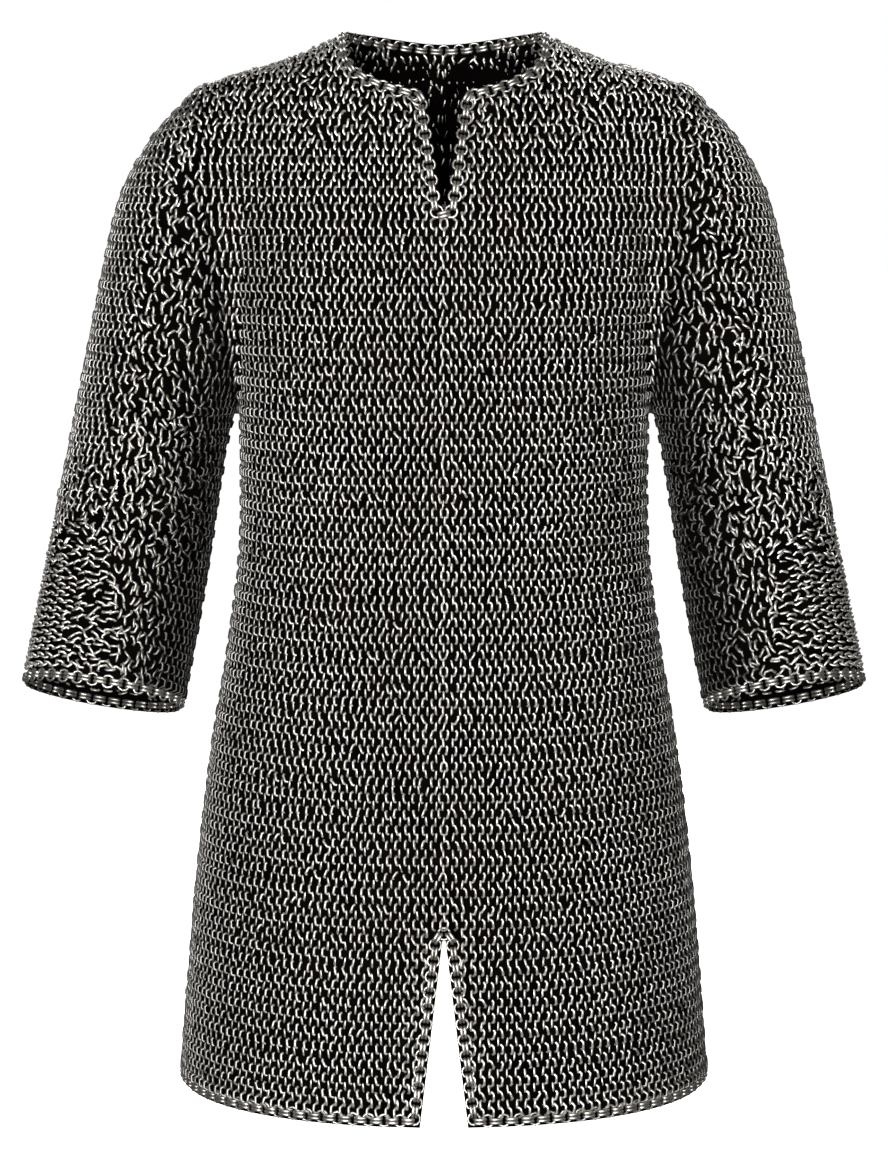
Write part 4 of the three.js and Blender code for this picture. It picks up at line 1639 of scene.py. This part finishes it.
@dataclass
class Edging:
    """All the chains: neck with its slit, cuffs, and the skirt's hem with its slits."""

    form: ShirtForm
    link: LinkShape = LinkShape()
    slit_steps: tuple[int, int] = (5, 10)
    hem_points: int = 40
    cuff_points: int = 48
    cuff_planes: tuple[int, int] = (4, 8)

    def neck_line(self) -> Array:
        """Loop from the bottom of the slit up its +X side, round the neck and down the other side.

        Returns:
            Points of the loop.
        """
        front, back = self.form.neck_edge(Face.FRONT), self.form.neck_edge(Face.BACK)[::-1]
        half = np.concatenate([front, back[1:]])
        edge = np.concatenate([half, mirrored(half[1:-1])[::-1]])
        return self.loop(edge)

    def loop(self, edge: Array) -> Array:
        """The chain's line past a closed edge, with its first point again at its end."""
        line = beside_edge(self.form, edge, self.link.offset, -1, True)
        return np.concatenate([line, line[:1]])

    def skirt_line(self, hand: Hand) -> Array:
        """Line from the front slit's closed end down to the hem, round to the back slit and up to its end.

        Args:
            hand: Side of the shirt.

        Returns:
            Points of the line.
        """
        form, slit = self.form, self.form.skirt_slit
        z = slit.heights(*self.slit_steps)
        feet = np.stack([slit.half_at(z), z * 0, z], axis=-1)
        half_width = form.trunk.at(np.array(form.hem_z))[0]
        share = np.sin(np.linspace(0, math.pi / 2, self.hem_points))[1:]
        x = slit.open_half + (half_width - slit.open_half) * share
        sides = {face: form.cast(feet, np.array([0, face.value, 0.0])) for face in Face}
        hem = {face: form.level_points(np.full_like(x, form.hem_z), x, face) for face in Face}
        front = (sides[Face.FRONT], hem[Face.FRONT])
        edge = np.concatenate([*front, hem[Face.BACK][-2::-1], sides[Face.BACK][::-1]])
        line = beside_edge(form, edge, self.link.offset, 1, False)
        line[[0, -1], 0] = 0
        return line if hand is Hand.LEFT else mirrored(line)

    def cuff_line(self, hand: Hand) -> Array:
        """Loop round below the sleeve's lowest section."""
        shares = np.arange(self.cuff_points) / self.cuff_points
        line = self.loop(self.form.sleeve_sections(*self.cuff_planes, shares)[-1])
        return line if hand is Hand.LEFT else mirrored(line)

    def chains(self) -> list[EdgingChain]:
        """Every chain of the shirt. The left skirt chain holds the links on both slits' closed ends.

        Returns:
            The chains, not yet made.
        """
        form, loop_ends = self.form, (True, False)
        made = [EdgingChain(form, "neck_chain", self.neck_line(), flat_first=False, ends=loop_ends)]
        for hand in Hand:
            word, left = hand.name.lower(), hand is Hand.LEFT
            cuff, skirt = self.cuff_line(hand), self.skirt_line(hand)
            made.append(EdgingChain(form, f"cuff_chain_{word}", cuff, flat_first=True, ends=loop_ends))
            made.append(EdgingChain(form, f"skirt_chain_{word}", skirt, flat_first=True, ends=(left, left)))
        return made


@dataclass
class Studio:
    """A pale floor, soft light in front and behind, and the camera. In metres, and lamps in watts."""

    floor_z: float = -1.45
    floor_half: float = 40
    floor_tone: float = 0.9
    target: tuple[float, float, float] = (0, 0, -0.5105)
    distance: float = 2.7
    pitch: float = math.radians(8)
    lens: float = 87.8
    far: float = 200  # end of the camera's view
    surround: float = 0.08  # strength of the surroundings as light
    lamps: tuple[tuple[str, tuple[float, float, float], float, float], ...] = (  # place, width and power
        ("key", (-0.7, -3.1, 0.4), 2.4, 200),
        ("fill", (0.9, -3.0, 0.1), 1.8, 32),
        ("low", (-0.2, -3.0, -1.0), 1.6, 90),
        ("back", (0, 3.6, 0.2), 4.0, 230),
    )

    def build(self) -> None:
        """Makes the floor, the lights and the camera."""
        self.floor()
        self.lights()
        self.camera()

    def floor(self) -> None:
        """A wide pale plane at the level of a wearer's feet, which throws no light on the shirt."""
        half, tone = self.floor_half, self.floor_tone
        corners = np.array([[-half, -half, 0], [half, -half, 0], [half, half, 0], [-half, half, 0]])
        corners = corners + np.array([0, 0, self.floor_z])
        paint = Paint("pale_floor").set(base_color=(tone, tone, tone, 1), roughness=tone)
        paint.set(emission_color=(1, 1, 1, 1), emission_strength=1.0)
        made = mesh_object("floor", corners / METRES, np.array([[0, 1, 2, 3]]), paint.material)
        made.visible_diffuse = made.visible_glossy = False

    def lights(self) -> None:
        """White surroundings, dimmer as light than they look, and soft lamps in front and behind."""
        world = bpy.data.worlds.new("studio")
        world.use_nodes = True
        nodes, links = world.node_tree.nodes, world.node_tree.links
        seen = nodes.new("ShaderNodeLightPath").outputs["Is Camera Ray"]
        strength = nodes.new("ShaderNodeMapRange")
        strength.inputs["To Min"].default_value = self.surround
        strength.inputs["To Max"].default_value = 1.0
        links.new(seen, strength.inputs["Value"])
        background = nodes["Background"]
        background.inputs["Color"].default_value = (1, 1, 1, 1)
        links.new(strength.outputs["Result"], background.inputs["Strength"])
        bpy.context.scene.world = world
        for name, place, size, power in self.lamps:
            lamp = bpy.data.lights.new(name, "AREA")
            lamp.shape, lamp.size, lamp.energy = "DISK", size, power
            made = bpy.data.objects.new(name, lamp)
            made.location = place
            made.visible_camera = False
            way = Vector(self.target) - made.location
            made.rotation_euler = way.to_track_quat("-Z", "Y").to_euler()
            bpy.context.collection.objects.link(made)

    def camera(self) -> None:
        """A long lens that looks a little down at the shirt's front."""
        made = bpy.data.objects.new("camera", bpy.data.cameras.new("camera"))
        made.data.lens = self.lens
        made.data.clip_end = self.far
        target = Vector(self.target)
        made.location = target + self.distance * Vector((0, -math.cos(self.pitch), math.sin(self.pitch)))
        made.rotation_euler = (target - made.location).to_track_quat("-Z", "Y").to_euler()
        bpy.context.collection.objects.link(made)
        bpy.context.scene.camera = made


def main() -> None:
    """Builds the studio, the panels, the sleeves and the chains."""
    logging.basicConfig(level=logging.INFO, format="%(message)s")
    Studio().build()
    bpy.context.scene.view_settings.view_transform = "Standard"
    finishes = Finishes.make()
    form = ShirtForm()
    mail = Mail(form, RingPattern())
    rows = {face: FaceRows(form, mail.pattern, face) for face in Face}
    woven = {face: rows[face].weave() for face in Face}
    on_sleeve = {face: form.past_armhole(weave.edges) for face, weave in woven.items()}
    for face, flat in PANEL_FLATS.items():
        Panel(mail, face, woven[face].only(~on_sleeve[face]), *flat).build(finishes)
    heights = rows[Face.FRONT].heights()
    low = heights[heights <= form.armpit[2]]
    arm = ArmRows(form, mail.pattern, low[-1]).weave(len(low) - 1)
    sleeve = Weave.joined([arm] + [woven[face].only(on_sleeve[face]) for face in Face])
    for hand in Hand:
        Sleeve(mail, hand, sleeve, *SLEEVE_FLAT).build(finishes)
    for chain in Edging(form).chains():
        chain.build(finishes)


if __name__ == "__main__":
    main()
